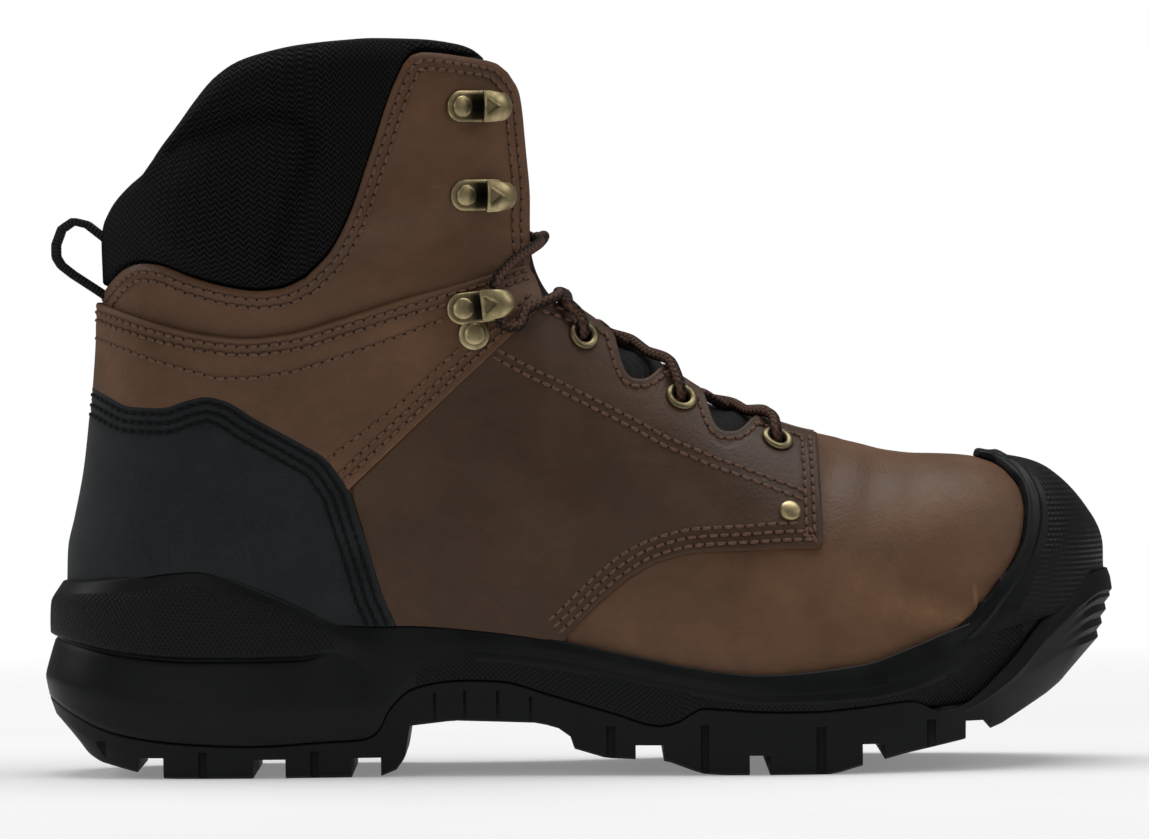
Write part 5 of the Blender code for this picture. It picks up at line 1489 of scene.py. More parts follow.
def collar_swell(x, z):
    """Stuffed ankle bulge behind its sewn groove, outwards in millimetres."""
    line = even(flowing(COLLAR_GROOVE), 80)
    away = np.min(np.hypot(x[..., None] - line[:, 0], z[..., None] - line[:, 1]), axis=-1)
    top, front = line[:40], line[40:][::-1]
    behind = (x < np.interp(z, front[:, 1], front[:, 0])) & (z < np.interp(x, top[:, 0], top[:, 1]))
    bulge = BULGE[0] * ease(away / BULGE[1]) * ease((x + 134) / 24)
    swell = np.where(behind, bulge, FRONT_SWELL[0] * ease(away / FRONT_SWELL[1]))
    return swell - GROOVE[0] * np.exp(-((away / GROOVE[1]) ** 2))


def collar_faces(grid, tops, placed_of):
    """Outer and inner face of the collar over a side view grid whose columns end at tops."""
    line = np.array([leather_top(x) for x in tops])[:, None]
    above = grid[..., 1] - line
    near_top = np.clip((collar_top(tops)[:, None] - grid[..., 1]) / 6.0, 0, 1)
    depth = COLLAR_SINK * (1 - ease((above + 0.2) / 2.0)) + COLLAR_ROLL * (1 - near_top) ** 2.2
    depth -= collar_swell(grid[..., 0], grid[..., 1]) * ease((above - 1.0) / 8.0) * near_top
    pad = COLLAR_PAD - 2.0 * (1 - near_top) ** 2 - 2.4 * (1 - np.clip((grid[..., 1] - grid[:, :1, 1]) / 6.0, 0, 1))
    placed, outward, spread_out = placed_of(grid)
    return placed - outward * spread_out(depth)[..., None], placed - outward * spread_out(pad)[..., None]


def ring_mesh(outer, inner):
    """Points, faces and UVs of a closed roll between an outer and an inner face."""
    ring = np.concatenate([outer, inner[:, ::-1]], axis=1)
    columns, rows = ring.shape[:2]
    along = run_length(ring[:, outer.shape[1] // 2])
    up = run_length(ring, 1)
    uv = np.stack([np.broadcast_to(along[:, None], up.shape), up], axis=-1).reshape(-1, 2)
    faces = grid_faces(columns, rows)
    faces += [(c * rows, (c + 1) * rows, (c + 2) * rows - 1, (c + 1) * rows - 1) for c in range(columns - 1)]
    faces += [tuple(range(rows)), tuple(range((columns - 1) * rows, columns * rows))]
    return ring.reshape(-1, 3), faces, uv


def build_collar(looks):
    tops = COLLAR_TOP[0][0] + spread(COLLAR_COLUMNS, 5)
    sides = []
    for x_top in tops:
        line = leather_top(x_top)
        foot = min(line, 146.0) - COLLAR_FOOT
        z = np.concatenate([np.linspace(foot, line - 1, 8), np.linspace(line, line + 2.0, 4)])
        z = np.concatenate([z, np.linspace(line + 2.8, float(collar_top(x_top)), 30)])
        bow = 1 - ease((x_top - COLLAR_TOP[0][0]) / 50)
        sides.append(np.stack([x_top + bow * (back_edge(z) - COLLAR_TOP[0][0]), z], axis=1))
    outer, inner = collar_faces(np.array(sides), tops, lambda grid: (*wrapped(grid), both))
    parts = [ring_mesh(outer, inner)]
    crest = [0.5 * (outer[:, -1] + inner[:, -1])]
    tops = np.linspace(tops[-1], COLLAR_TOP[-1][0], 9)
    ends = [(leather_top(x) - 6, float(collar_top(x))) for x in tops]
    sides = [np.stack([np.full(20, x), np.linspace(low, high, 20)], axis=1) for x, (low, high) in zip(tops, ends)]
    for side in (LATERAL, MEDIAL):
        outer, inner = collar_faces(
            np.array(sides), tops, lambda grid: (skin(grid, side), grid_normals(skin(grid, side)) * -side, np.asarray)
        )
        parts.append(ring_mesh(outer, inner))
        tip = 0.5 * (outer[1:, -1] + inner[1:, -1])
        crest = [tip[::-1], *crest] if side == LATERAL else [*crest, tip]
    points, faces, uv = joined(parts)
    made = dressed(make_object("collar_mesh", points, faces, looks["mesh"], uv=uv), "collar")
    points, faces, uv = tube(np.concatenate(crest) - np.array((0.0, 0.0, BINDING_DROP)), BINDING_RADIUS, 10)
    dressed(make_object("collar_binding", points, faces, looks["binding"], 0.001, uv=uv))
    return made


# Tongue
def across_throat(x, y, rise=0.0):
    """Points across the throat at a place of the ridge line, off the leather's form by rise."""
    z = float(ridge(x))
    slope = float(ridge(x + 0.5) - ridge(x - 0.5))
    inward = np.array((slope, -1.0)) / math.hypot(1.0, slope)

    def wide(depth):
        return half_width(x + inward[0] * depth, z + inward[1] * depth) >= np.abs(y)

    _, far = halved(wide, np.zeros(np.shape(y)), np.full(np.shape(y), 45.0))
    px, pz = x + inward[0] * (far - rise), z + inward[1] * (far - rise)
    return np.stack([px, centre(px) + y, pz], axis=-1)


def build_tongue(looks):
    rows = np.array(TONGUE)
    steps = spread(np.arange(len(rows)), 5)
    table = np.stack([np.interp(steps, np.arange(len(rows)), rows[:, k]) for k in range(3)], axis=1)
    spreads = np.sin(0.5 * np.pi * np.linspace(-1, 1, 41))
    grid = np.array([across_throat(x, spreads * half) for x, half, _ in table])
    outward = -grid_normals(grid)
    sink = WALL + TONGUE_GAP + table[:, 2:3] * (1 - spreads[None] ** 2)
    outer = grid - outward * sink[..., None]
    inner = grid - outward * (sink + TONGUE_THICKNESS * (1 - 0.5 * spreads[None] ** 4))[..., None]
    points, faces, uv = ring_mesh(outer, inner)
    made = dressed(make_object("tongue_cloth", points, faces, looks["tongue"], uv=uv), "tongue")
    return made


# Hardware
def turned(seat, profile, count=28):
    """Points and quads of a closed profile of radius and height turned about the seat's normal."""
    size = len(profile)
    points, faces = [], []
    for k in range(count):
        angle = 2 * math.pi * k / count
        for radius, height in profile:
            points.append(seat.at(radius * math.cos(angle), radius * math.sin(angle), height))
        for i in range(size):
            j, after = (i + 1) % size, (k + 1) % count
            faces.append((k * size + i, k * size + j, after * size + j, after * size + i))
    return points, faces


def dome(seat, radius, low, high, u=0.0, v=0.0, count=24):
    """Points, faces and painted shade of a low round head with a rolled rim."""
    steps = [(radius, low), (radius, low + 0.35 * (high - low))]
    for a in np.linspace(0.25, 1.0, 6) * 0.5 * math.pi:
        steps.append((radius * math.cos(a) + 0.001, low + (high - low) * (0.35 + 0.65 * math.sin(a))))
    points = []
    for r, height in steps:
        for k in range(count):
            angle = 2 * math.pi * k / count
            points.append(seat.at(u + r * math.cos(angle), v + r * math.sin(angle), height))
    # Painted shade: dark round the foot of the head where it meets the plate, none on its top.
    painted_shade = [0.85] * count + [0.4] * count + [0.0] * (len(points) - 2 * count)
    return points, capped_faces(len(steps), count), painted_shade


def pill(seat, start, end, half, low, high):
    """Points, faces and painted shade of a plate with round ends and a soft rim."""
    side = np.linspace(start + half, end - half, 14)
    turns = [(start + half, a) for a in np.linspace(0.5, 1.5, 15) * math.pi]
    turns += [(u, 1.5 * math.pi) for u in side[1:-1]]
    turns += [(end - half, a) for a in np.linspace(-0.5, 0.5, 15) * math.pi]
    turns += [(u, 0.5 * math.pi) for u in side[-2:0:-1]]
    points, painted_shade = [], []
    # Levels: inset, height and share of painted shade, which is dark on the side wall and grows over the middle towards
    # the curl.
    levels = ((0.0, low, 0.3), (0.0, high - 0.45, 0.1), (0.15, high - 0.15, 0.1))
    levels += ((0.5, high, 0.3), (1.2, high, 0.9), (half - 0.05, high, 1.0))
    for inset, height, share in levels:
        for u, a in turns:
            along = u + (half - inset) * math.cos(a)
            points.append(seat.at(along, (half - inset) * math.sin(a), height))
            painted_shade.append(share * (0.45 + 0.55 * float(ease((along - 1.6) / 2.2))))
    return points, capped_faces(len(levels), len(turns)), painted_shade


def hook_curl(seat, rise):
    """Points, faces and painted shade of a hook's tongue, which curls back to a wide lip with a three-cornered recess.
    """
    line = even(flowing(HOOK_CURL), 44)
    run = directions(line)
    share = np.linspace(0, 1, len(line))
    half = np.interp(share, (0.0, 0.4, 0.6, 0.96, 1.0), (3.8, 3.9, 4.1, 4.5, 4.3))
    bent = np.interp(share, (0.0, 0.3, 0.55, 0.9), (0.6, 1.0, 0.7, 0.0))
    across = np.sin(0.5 * np.pi * np.linspace(-1, 1, 31))
    sheets, painted_shade = [], []
    for off, recess in ((0.5, 0.85), (-0.6, 0.0)):
        sheet = np.zeros((len(line), len(across), 3))
        for k, (u, n) in enumerate(line + np.stack([run[:, 1], -run[:, 0]], axis=1) * off):
            for i, v in enumerate(across):
                along = u - 4.2 * bent[k] * (1 - math.sqrt(1 - 0.8 * v * v))
                height = n - 0.8 * v * v * unit((n - 2) / 4)
                reach = RECESS_HALF * (RECESS_TIP - along) / (RECESS_TIP - RECESS_BASE) - abs(v * half[k])
                inside = unit(reach / RECESS_RIM) * unit((along - RECESS_BASE) / RECESS_RIM)
                inside = inside if n > 5.5 else 0.0
                edge = inside * (1 - unit((reach - 0.5) / 0.6))
                sheet[k, i] = seat.at(along, v * half[k], rise + height - recess * inside)
                # Painted shade: in the recess and along its rim on the top sheet, and full on the sheet under the curl.
                painted_shade.append(0.35 * inside + 0.5 * edge if recess else 1.0)
        sheets.append(sheet)
    return (*shell(*sheets)[:2], painted_shade)


def build_hardware(looks):
    surface = QUARTER_THICKNESS + 0.2
    ring = ((2.3, -WALL - 0.6), (2.9, -WALL - 0.6), (2.9, surface), (4.6, surface - 0.1), (4.75, surface + 0.35))
    ring += ((4.45, surface + 0.85), (3.7, surface + 1.15), (2.8, surface + 1.0), (2.35, surface + 0.5))
    for side, word in SIDES:
        for number, (x, z) in enumerate(EYELETS, 1):
            points, faces = turned(Seat(x, z, side), ring)
            made = make_object(f"eyelet_brass_{word}_{number}", points, faces, looks["bronze"])
            dressed(made, f"eyelet_{word}_{number}")
        seat = Seat(*RIVET_PLACE, side)
        points, faces, _ = dome(seat, RIVET_RADIUS, surface - 0.2, surface + 1.9)
        dressed(make_object(f"rivet_brass_{word}", points, faces, looks["brass"]), f"rivet_{word}")
        for name, (x, z, angle, rise, second) in HOOKS.items():
            seat = Seat(x, z, side, angle)
            low = rise - HOOK_SINK
            parts = [pill(seat, *HOOK_PLATE, low, low + 1.2), hook_curl(seat, low)]
            parts.append(dome(seat, HOOK_RIVET, low + 0.9, low + 2.2))
            if second:
                u, v = second
                parts.append(dome(seat, HOOK_RIVET + 1.5, low, low + 1.15, u, v))
                parts.append(dome(seat, HOOK_RIVET + 0.1, low + 0.7, low + 2.1, u, v))
            # Each part's painted shade goes into the X of its UV, where the brass look reads it.
            points, faces, uv = joined((*part, [(share, 0.0) for share in painted_shade]) for *part, painted_shade in parts)
            made = make_object(f"{name}_brass_{word}", points, faces, looks["brass"], uv=uv)
            dressed(made, f"{name}_{word}")


def build_pull_loop(looks):
    line = even(PULL_LOOP, 60)
    points, uv = [], []
    middle = float(centre(BACK_X))
    for (x, z), (dx, dz), at in zip(line, directions(line), run_length(line)):
        for across, through in WEBBING:
            points.append((x - dz * through, middle + across, z + dx * through))
            uv.append((at, across))
    faces = capped_faces(len(line), len(WEBBING))
    return dressed(make_object("pull_loop_webbing", points, faces, looks["webbing"], uv=uv), "pull_loop")


# Lace: strands from the eyelets over the throat edges and across the tongue, and round the ankle hooks
# Crossings: eyelet, place on the way, x at the throat edge, in the opening, in the middle, on the far side's way and
# at its edge, far eyelet
CROSSINGS = (
    (2, (55.0, 98.2), 53.2, 51.0, 46.5, 42.0, 38.6, 1),
    (1, (27.0, 112.0), 25.2, 23.0, 17.6, 12.5, 9.0, 0),
)


def edge_half(x):
    return float(half_width(x, throat_line(x)))


def out_of_eyelet(place_of, side, ahead):
    """Anchors of a strand that comes out of an eyelet and bends towards a place of the side view."""
    seat = Seat(*place_of, side)
    aim = np.array(ahead) - np.array(place_of)
    aim = aim / np.hypot(*aim)
    steps = ((0.0, -4.5), (0.0, -1.0), (0.25, 1.9), (1.7, 4.3))
    return [seat.at(step * aim[0], step * aim[1], height) for step, height in steps]


def eyelet_strand(side, eyelet, on_way, edge, opening, middle, far_way, far_edge, far_eyelet):
    """Anchors of a strand from an eyelet across to the inside of the other side's next eyelet."""
    other = edge_half(far_edge)
    lift = 0.0 if side == LATERAL else -1.9
    last = Seat(*EYELETS[far_eyelet], -side)
    return out_of_eyelet(EYELETS[eyelet], side, on_way) + [
        Seat(*on_way, side).at(0, 0, 4.1),
        Seat(edge, float(throat_line(edge)) - 0.6, side).at(0, 0, 3.2),
        across_throat(opening, side * 0.66 * edge_half(edge), -1.8),
        across_throat(middle, 0.0, -3.5 + lift),
        across_throat(far_way, -side * 0.5 * other, -4.2),
        across_throat(far_edge, -side * (other - 4.5), -3.4),
        last.at(2.0, -1.0, -4.6),
        last.at(0.0, 0.0, -4.2),
    ]


def hook_strand(side):
    """Anchors of a strand from the top eyelet across, round the other side's ankle hook and back over the tongue."""
    x, z, angle, rise, _ = HOOKS["hook_ankle"]
    hook = Seat(x, z, -side, angle)
    inside = rise + 3.0
    lift = 0.0 if side == LATERAL else -2.0
    return out_of_eyelet(EYELETS[0], side, (-1.4, 129.8)) + [
        Seat(-1.4, 129.8, side).at(0, 0, 4.2),
        Seat(-5.0, 133.6, side).at(0, 0, 3.8),
        across_throat(0.2, side * 14.0, -0.8),
        across_throat(-0.8, 0.0, -3.3 + lift),
        across_throat(-2.0, -side * 14.0, -0.9),
        Seat(-8.8, 134.6, -side).at(0, 0, 4.8),
        Seat(-16.0, 131.6, -side).at(0, 0, 5.0),
        hook.at(15.4, -6.8, inside),
        hook.at(10.8, -6.4, inside),
        hook.at(9.4, -2.4, inside),
        hook.at(9.2, 2.4, inside),
        hook.at(9.8, 6.8, inside),
        Seat(-20.6, 147.0, -side).at(0, 0, 4.4),
        Seat(-14.4, 150.6, -side).at(0, 0, 2.4),
        across_throat(-7.2, -side * 12.5, -0.4),
        across_throat(-7.5, 0.0, -1.6 + lift),
        across_throat(-7.5, side * 10.0, -3.2),
        across_throat(-8.0, side * 17.0, -4.6),
    ]


def flowing(anchors, steps=8):
    """Points of a smooth curve through anchors."""
    anchors = np.array(anchors)
    tangent = np.gradient(anchors, axis=0)
    gap = np.linalg.norm(np.diff(anchors, axis=0), axis=1)
    points = []
    for k in range(len(anchors) - 1):
        near = np.minimum(1.0, gap[k] / np.linalg.norm(tangent[k : k + 2], axis=1))
        leave, reach = near[0] * tangent[k], near[1] * tangent[k + 1]
        points += [blend(t, anchors[k], anchors[k + 1], leave, reach) for t in np.arange(steps) / steps]
    return np.array(points + [anchors[-1]])


def build_lace(looks, sizes):
    radius = 0.5 * sizes.lace_diameter / MM
    bar = [Seat(*EYELETS[2], LATERAL).at(0, 0, -4.5), across_throat(56.0, -9.0, -4.2), across_throat(55.5, 0.0, -4.2)]
    bar += [across_throat(56.0, 9.0, -4.2), Seat(*EYELETS[2], MEDIAL).at(0, 0, -4.5)]
    groups = [[eyelet_strand(side, *row) for side in (LATERAL, MEDIAL)] for row in CROSSINGS]
    groups.append([hook_strand(side) for side in (LATERAL, MEDIAL)])
    groups[0].append(bar)
    for number, strands in enumerate(groups, 1):
        lines = (even(flowing(anchors), 12 * len(anchors)) for anchors in strands)
        points, faces, uv = joined(tube(line, radius, 14) for line in lines)
        made = make_object(f"lace_braid_{number}", points, faces, looks["braid"], uv=uv)
        dressed(made, f"lace_cross_{number}")


# Stitches: length by their step, dark tube of painted shade for the stitch holes by their thickness, height above the
# surface, depth at the back
STITCH_SHARE = 0.9
NEEDLE_SHADE_LINE = 0.26
STITCH_LIFT = 0.06
BACK_SUNK = 0.25
# Least distance of a row from the back edge, and how near a row's end lies that goes round the back
BACK_CLEAR = 0.7
BACK_REACH = 3.0
# Edges and single rows in the side view: x, height
ANKLE_EDGE = ((-11.6, 132.8), (-64.6, 84.0))
QUARTER_FRONT = [(68.6, 94.0), (69.0, 86.0), (69.3, 78.0), (69.5, 67.0), (69.1, 65.2), (67.6, 64.4)]
ANKLE_ROW = (
    (-138.5, 126.9), (-121.1, 120.3), (-103.2, 114.8), (-93.3, 114.7), (-80.5, 116.6), (-57.7, 123.9), (-39.4, 130.4),
)
DIAGONAL_ROW = ((-34.8, 121.6), (-41.9, 115.3), (-50.1, 107.3), (-70.9, 91.5))
EYELET_ROW = ((-22.0, 121.2), (-9.0, 113.8), (12.3, 102.8), (25.6, 95.4), (38.9, 89.4), (52.2, 84.3), (63.4, 79.7))
CORNER_ROW = ((-8.8, 134.1), (-2.1, 131.7))


def aside(line, distance, count=200):
    """Side view line moved to its right by a distance."""
    line = even(line, count)
    run = directions(line)
    moved = line + np.stack([run[:, 1], -run[:, 0]], axis=1) * distance
    ahead = np.sum(np.gradient(moved, axis=0) * run, axis=1) > 0
    return moved[ahead]


def seam_rows():
    """Rows of stitches: side view line, rise above the leather, thread."""
    rows = []
    back = traced(leather_line, LEATHER_LINE[0][0], LEATHER_LINE[-1][0], 60)
    rear = upright(smooth(FLAP_REAR), 143.5, 203.0, 40)
    top = traced(flap_top, -47.0, -20.5, 20)
    front = upright(smooth(FLAP_FRONT), 200.0, 148.0, 40)
    ankle = traced(ankle_top, ANKLE_TOP[0][0], -16.5, 80)
    counter = traced(counter_top, COUNTER_TOP[0][0], COUNTER_TOP[-1][0], 80)
    counter += list(reversed(counter_front()[:-1]))
    throat = traced(lambda x: throat_edge(x) - 0.5, 2.5, 64.0, 240)
    low = traced(quarter_low, 66.0, QUARTER_LOW[0][0] + 1.0, 120)
    first = PAIR_SEAMS[0]
    for distance in PAIR_SEAMS:
        rows.append((aside(back + rear + top + front, distance, 400), 0.0, "brown"))
        rows.append((aside(ankle, distance), ANKLE_THICKNESS, "brown"))
        rows.append((aside(ANKLE_EDGE, distance), ANKLE_THICKNESS, "brown"))
        rows.append((aside(QUARTER_FRONT + low, distance, 300), QUARTER_THICKNESS, "brown"))
        rows.append((aside(EYELET_ROW, distance - first), QUARTER_THICKNESS, "brown"))
        rows.append((aside(CORNER_ROW, distance - first, 20), QUARTER_THICKNESS, "brown"))
    rows.append((even(ANKLE_ROW, 100), ANKLE_THICKNESS, "brown"))
    rows.append((even(DIAGONAL_ROW, 60), ANKLE_THICKNESS, "brown"))
    rows.append((aside(throat, first, 400), QUARTER_THICKNESS, "brown"))
    rows.append((aside(low[8:], THIRD_SEAM), QUARTER_THICKNESS, "brown"))
    for distance in COUNTER_SEAMS:
        rows.append((aside(counter, distance, 300), COUNTER_THICKNESS + 0.2, "black"))
    return [(round_the_back(line), rise, thread) for line, rise, thread in rows]


def round_the_back(line):
    """Seam line without its hidden points, and drawn on to the middle of the back if it ends there."""
    rim = np.array([sole_rim(x) for x in line[:, 0]]) + 1.0
    line = line[(line[:, 0] > back_edge(line[:, 1]) + BACK_CLEAR) & (line[:, 1] > rim)]
    gap = line[0, 0] - back_edge(line[0, 1])
    if gap > BACK_REACH:
        return line
    share = np.linspace(0.1, 1.0, 14)[:-1]
    drawn = np.stack([back_edge(line[0, 1]) + gap * share**2, np.full(len(share), line[0, 1])], axis=1)
    return np.concatenate([drawn, line])


def seam_tree(name, stitch, thread, hole_shade_look):
    """Geometry Nodes: lays a stitch at every step along a mesh of seam lines, over a dark tube that is painted shade of
    the stitch holes and furrows.
    """
    tree = bpy.data.node_groups.new(name, "GeometryNodeTree")
    for socket, way, kind in (
        ("Seams", "INPUT", "Geometry"),
        ("Step", "INPUT", "Float"),
        ("Line", "INPUT", "Float"),
        ("Stitches", "OUTPUT", "Geometry"),
    ):
        tree.interface.new_socket(socket, in_out=way, socket_type=f"NodeSocket{kind}")

    def node(kind, **inputs):
        made = tree.nodes.new(kind)
        for socket, value in inputs.items():
            made.inputs[socket].default_value = value
        return made

    start, end = node("NodeGroupInput"), node("NodeGroupOutput")
    curve = node("GeometryNodeMeshToCurve")
    dots = node("GeometryNodeCurveToPoints")
    dots.mode = "LENGTH"
    shape = node("GeometryNodeObjectInfo", Object=stitch)
    copies = node("GeometryNodeInstanceOnPoints")
    ring = node("GeometryNodeCurvePrimitiveCircle", Resolution=5)
    line = node("GeometryNodeCurveToMesh")
    real = node("GeometryNodeRealizeInstances")
    sewn = node("GeometryNodeSetMaterial", Material=thread)
    # Painted shade: the dark tube under the stitches stands for the shade in the real stitch holes and furrows.
    hole_shade_tube = node("GeometryNodeSetMaterial", Material=hole_shade_look)
    both_of = node("GeometryNodeJoinGeometry")
    for source, out, target, into in (
        (start, "Seams", curve, "Mesh"),
        (curve, "Curve", dots, "Curve"),
        (start, "Step", dots, "Length"),
        (dots, "Points", copies, "Points"),
        (shape, "Geometry", copies, "Instance"),
        (dots, "Rotation", copies, "Rotation"),
        (copies, "Instances", real, "Geometry"),
        (real, "Geometry", sewn, "Geometry"),
        (start, "Line", ring, "Radius"),
        (curve, "Curve", line, "Curve"),
        (ring, "Curve", line, "Profile Curve"),
        (line, "Mesh", hole_shade_tube, "Geometry"),
        (hole_shade_tube, "Geometry", both_of, "Geometry"),
        (sewn, "Geometry", both_of, "Geometry"),
        (both_of, "Geometry", end, "Stitches"),
    ):
        tree.links.new(source.outputs[out], target.inputs[into])
    return tree


def stitch_shape(length, thick):
    """One stitch: a slim grain along Z."""
    rings = ((-0.5, 0.25), (-0.36, 0.8), (0.0, 1.0), (0.36, 0.8), (0.5, 0.25))
    points, sides = [], 6
    for at, size in rings:
        for k in range(sides):
            a = 2 * math.pi * k / sides
            points.append((0.5 * thick * size * math.cos(a), 0.5 * thick * size * math.sin(a), at * length))
    return make_object("stitch_shape", points, capped_faces(len(rings), sides), [])


def build_stitches(looks, sizes):
    for thread in ("brown", "black"):
        points, edges = [], []
        for line, rise, which in seam_rows():
            if which != thread:
                continue
            for side in (LATERAL, MEDIAL):
                placed = skin(line, side)
                higher = line[:, 1] + 0.2
                lean = back_edge(higher) - back_edge(line[:, 1])
                ahead = skin(np.stack([line[:, 0] + lean, higher], axis=1), side) - placed
                along = skin(line + np.array((0.05, 0.0)), side) - placed
                outward = np.cross(along, ahead) * -side
                outward /= np.linalg.norm(outward, axis=1, keepdims=True)
                sunk = crease(line)
                sunk = sunk + BACK_SUNK * (1 - ease((line[:, 0] - back_edge(line[:, 1])) / 1.5))
                first = len(points)
                points += list(placed + outward * (rise + STITCH_LIFT - sunk)[:, None])
                edges += [(first + i, first + i + 1) for i in range(len(line) - 1)]
        data = bpy.data.meshes.new(f"{thread}_stitches")
        data.from_pydata((np.array(points) * MM).tolist(), edges, [])
        made = linked(f"{thread}_stitches", data)
        stitch = stitch_shape(STITCH_SHARE * sizes.stitch_step / MM, sizes.stitch_thickness / MM)
        tree = seam_tree(f"{thread}_stitch_rows", stitch, looks[f"thread_{thread}"], looks[f"needle_{thread}"])
        rows = made.modifiers.new("stitches", "NODES")
        rows.node_group = tree
        sockets = {item.name: item.identifier for item in tree.interface.items_tree}
        rows[sockets["Step"]] = sizes.stitch_step
        rows[sockets["Line"]] = NEEDLE_SHADE_LINE * sizes.stitch_thickness
        applied(made)
        bpy.data.objects.remove(stitch, do_unlink=True)
        made.data.shade_smooth()
        dressed(made)


# Settings
class BootSizes(bpy.types.PropertyGroup):
    stitch_step: FloatProperty(
        name="Stitch step", description="Distance between stitches", default=0.0031, unit="LENGTH"
    )
    stitch_thickness: FloatProperty(
        name="Thread", description="Thickness of the sewing thread", default=0.00125, unit="LENGTH"
    )
    lace_diameter: FloatProperty(name="Lace", description="Diameter of the lace", default=0.0030, unit="LENGTH")


class BootColours(bpy.types.PropertyGroup):
    leather: FloatVectorProperty(
        name="Leather", description="Middle brown of the leather", subtype="COLOR", default=(0.128, 0.062, 0.030)
    )
    counter: FloatVectorProperty(
        name="Counter", description="Grey of the nubuck heel counter", subtype="COLOR", default=(0.0145, 0.0175, 0.019)
    )
    rubber: FloatVectorProperty(
        name="Rubber", description="Black of the sole and toe cap", subtype="COLOR", default=(0.0036, 0.0041, 0.0042)
    )
    collar: FloatVectorProperty(
        name="Collar", description="Black of the collar mesh", subtype="COLOR", default=(0.0021, 0.0021, 0.0023)
    )
    brass: FloatVectorProperty(
        name="Brass", description="Antique brass of the hardware", subtype="COLOR", default=(0.46, 0.37, 0.20)
    )
    lace: FloatVectorProperty(
        name="Lace", description="Brown strands of the lace", subtype="COLOR", default=(0.085, 0.042, 0.027)
    )
    thread: FloatVectorProperty(
        name="Thread", description="Brown sewing thread", subtype="COLOR", default=(0.140, 0.077, 0.050)
    )


LOOKS = {}


def looks():
    """Materials of the boot, made once."""
    if not LOOKS:
        colours = bpy.context.scene.boot_colours
        LOOKS.update(
            leather=leather_look("brown_leather", colours, 1.02),
            vamp=leather_look("worn_leather", colours, 1.0, True),
            quarter=leather_look("dark_leather", colours, 0.5),
            edge=leather_look("cut_edge", colours, 1.2),
            nubuck=nubuck_look("grey_nubuck", colours),
            rubber=rubber_look("smooth_rubber", colours, 0.42),
            rubber_cap=rubber_look("cap_rubber", colours, 0.5, "cap"),
            rubber_knurl=rubber_look("knurled_rubber", colours, 0.5, "knurl"),
            rubber_slant=rubber_look("slant_rubber", colours, 0.5, "slant"),
            outsole=rubber_look("tread_rubber", colours, 0.55),
            mesh=mesh_look("collar_zigzag", colours),
            binding=cloth_look("collar_binding_cloth", (0.008, 0.008, 0.009), 0.0007),
            lining=cloth_look("lining_cloth", (0.016, 0.016, 0.017), 0.0012),
            tongue=cloth_look("tongue_cloth", (0.010, 0.009, 0.009), 0.0011),
            webbing=webbing_look("loop_webbing", (0.008, 0.008, 0.009)),
            brass=brass_look("antique_brass", colours),
            bronze=brass_look("aged_brass", colours, 0.5),
            braid=braid_look("lace_braid", colours),
            thread_brown=thread_look("brown_thread", colours.thread),
            thread_black=thread_look("black_thread", (0.0026, 0.0028, 0.0030)),
            # Painted shade: near black colours of the tube under the stitches, for the shade in the stitch holes and
            # furrows.
            needle_brown=thread_look("brown_needle_hole_shade", (0.020, 0.011, 0.008)),
            needle_black=thread_look("black_needle_hole_shade", (0.0010, 0.0010, 0.0011)),
        )
    return LOOKS


class BuildUpper(bpy.types.Operator):
    """Makes the leather body with its soft troughs"""

    bl_idname = "boot.upper"
    bl_label = "Leather body"

    def execute(self, context):
        build_upper(looks())
        return {"FINISHED"}


class BuildPanels(bpy.types.Operator):
    """Makes the quarters, the ankle panel, the heel counter and the toe cap"""

    bl_idname = "boot.panels"
    bl_label = "Panels and toe cap"

    def execute(self, context):
        build_counter(looks())
        build_ankle(looks())
        build_quarters(looks())
        build_toe_cap(looks())
        return {"FINISHED"}


class BuildSole(bpy.types.Operator):
    """Makes the midsole, the outsole and the insole"""

    bl_idname = "boot.sole"
    bl_label = "Sole"

    def execute(self, context):
        build_midsole(looks())
        build_outsole(looks())
        build_insole(looks())
        return {"FINISHED"}


class BuildCollar(bpy.types.Operator):
    """Makes the padded collar, the tongue and the pull loop"""

    bl_idname = "boot.collar"
    bl_label = "Collar, tongue and pull loop"

    def execute(self, context):
        build_collar(looks())
        build_tongue(looks())
        build_pull_loop(looks())
        return {"FINISHED"}


class BuildHardware(bpy.types.Operator):
    """Makes the eyelets, the hooks and the rivets"""

    bl_idname = "boot.hardware"
    bl_label = "Eyelets, hooks and rivets"

    def execute(self, context):
        build_hardware(looks())
        return {"FINISHED"}


class BuildLace(bpy.types.Operator):
    """Laces the throat and the ankle hooks"""

    bl_idname = "boot.lace"
    bl_label = "Lace"

    def execute(self, context):
        build_lace(looks(), context.scene.boot_sizes)
        return {"FINISHED"}


class BuildStitches(bpy.types.Operator):
    """Sews the rows of stitches"""

    bl_idname = "boot.stitches"
    bl_label = "Stitches"

    def execute(self, context):
        build_stitches(looks(), context.scene.boot_sizes)
        return {"FINISHED"}


class BuildStage(bpy.types.Operator):
    """Sets up the floor, the lights and the camera"""

    bl_idname = "boot.stage"
    bl_label = "Floor, light and camera"

    def execute(self, context):
        build_stage()
        return {"FINISHED"}


class BootPanel(bpy.types.Panel):
    """Buttons and settings of the boot"""

    bl_idname = "BOOT_PT_pieces"
    bl_label = "Work boot"
    bl_space_type = "VIEW_3D"
    bl_region_type = "UI"
    bl_category = "Work boot"

    def draw(self, context):
        for step in STEPS:
            self.layout.operator(step.bl_idname)
        for group in (context.scene.boot_sizes, context.scene.boot_colours):
            for name in group.bl_rna.properties.keys():
                if name not in ("rna_type", "name"):
                    self.layout.prop(group, name)


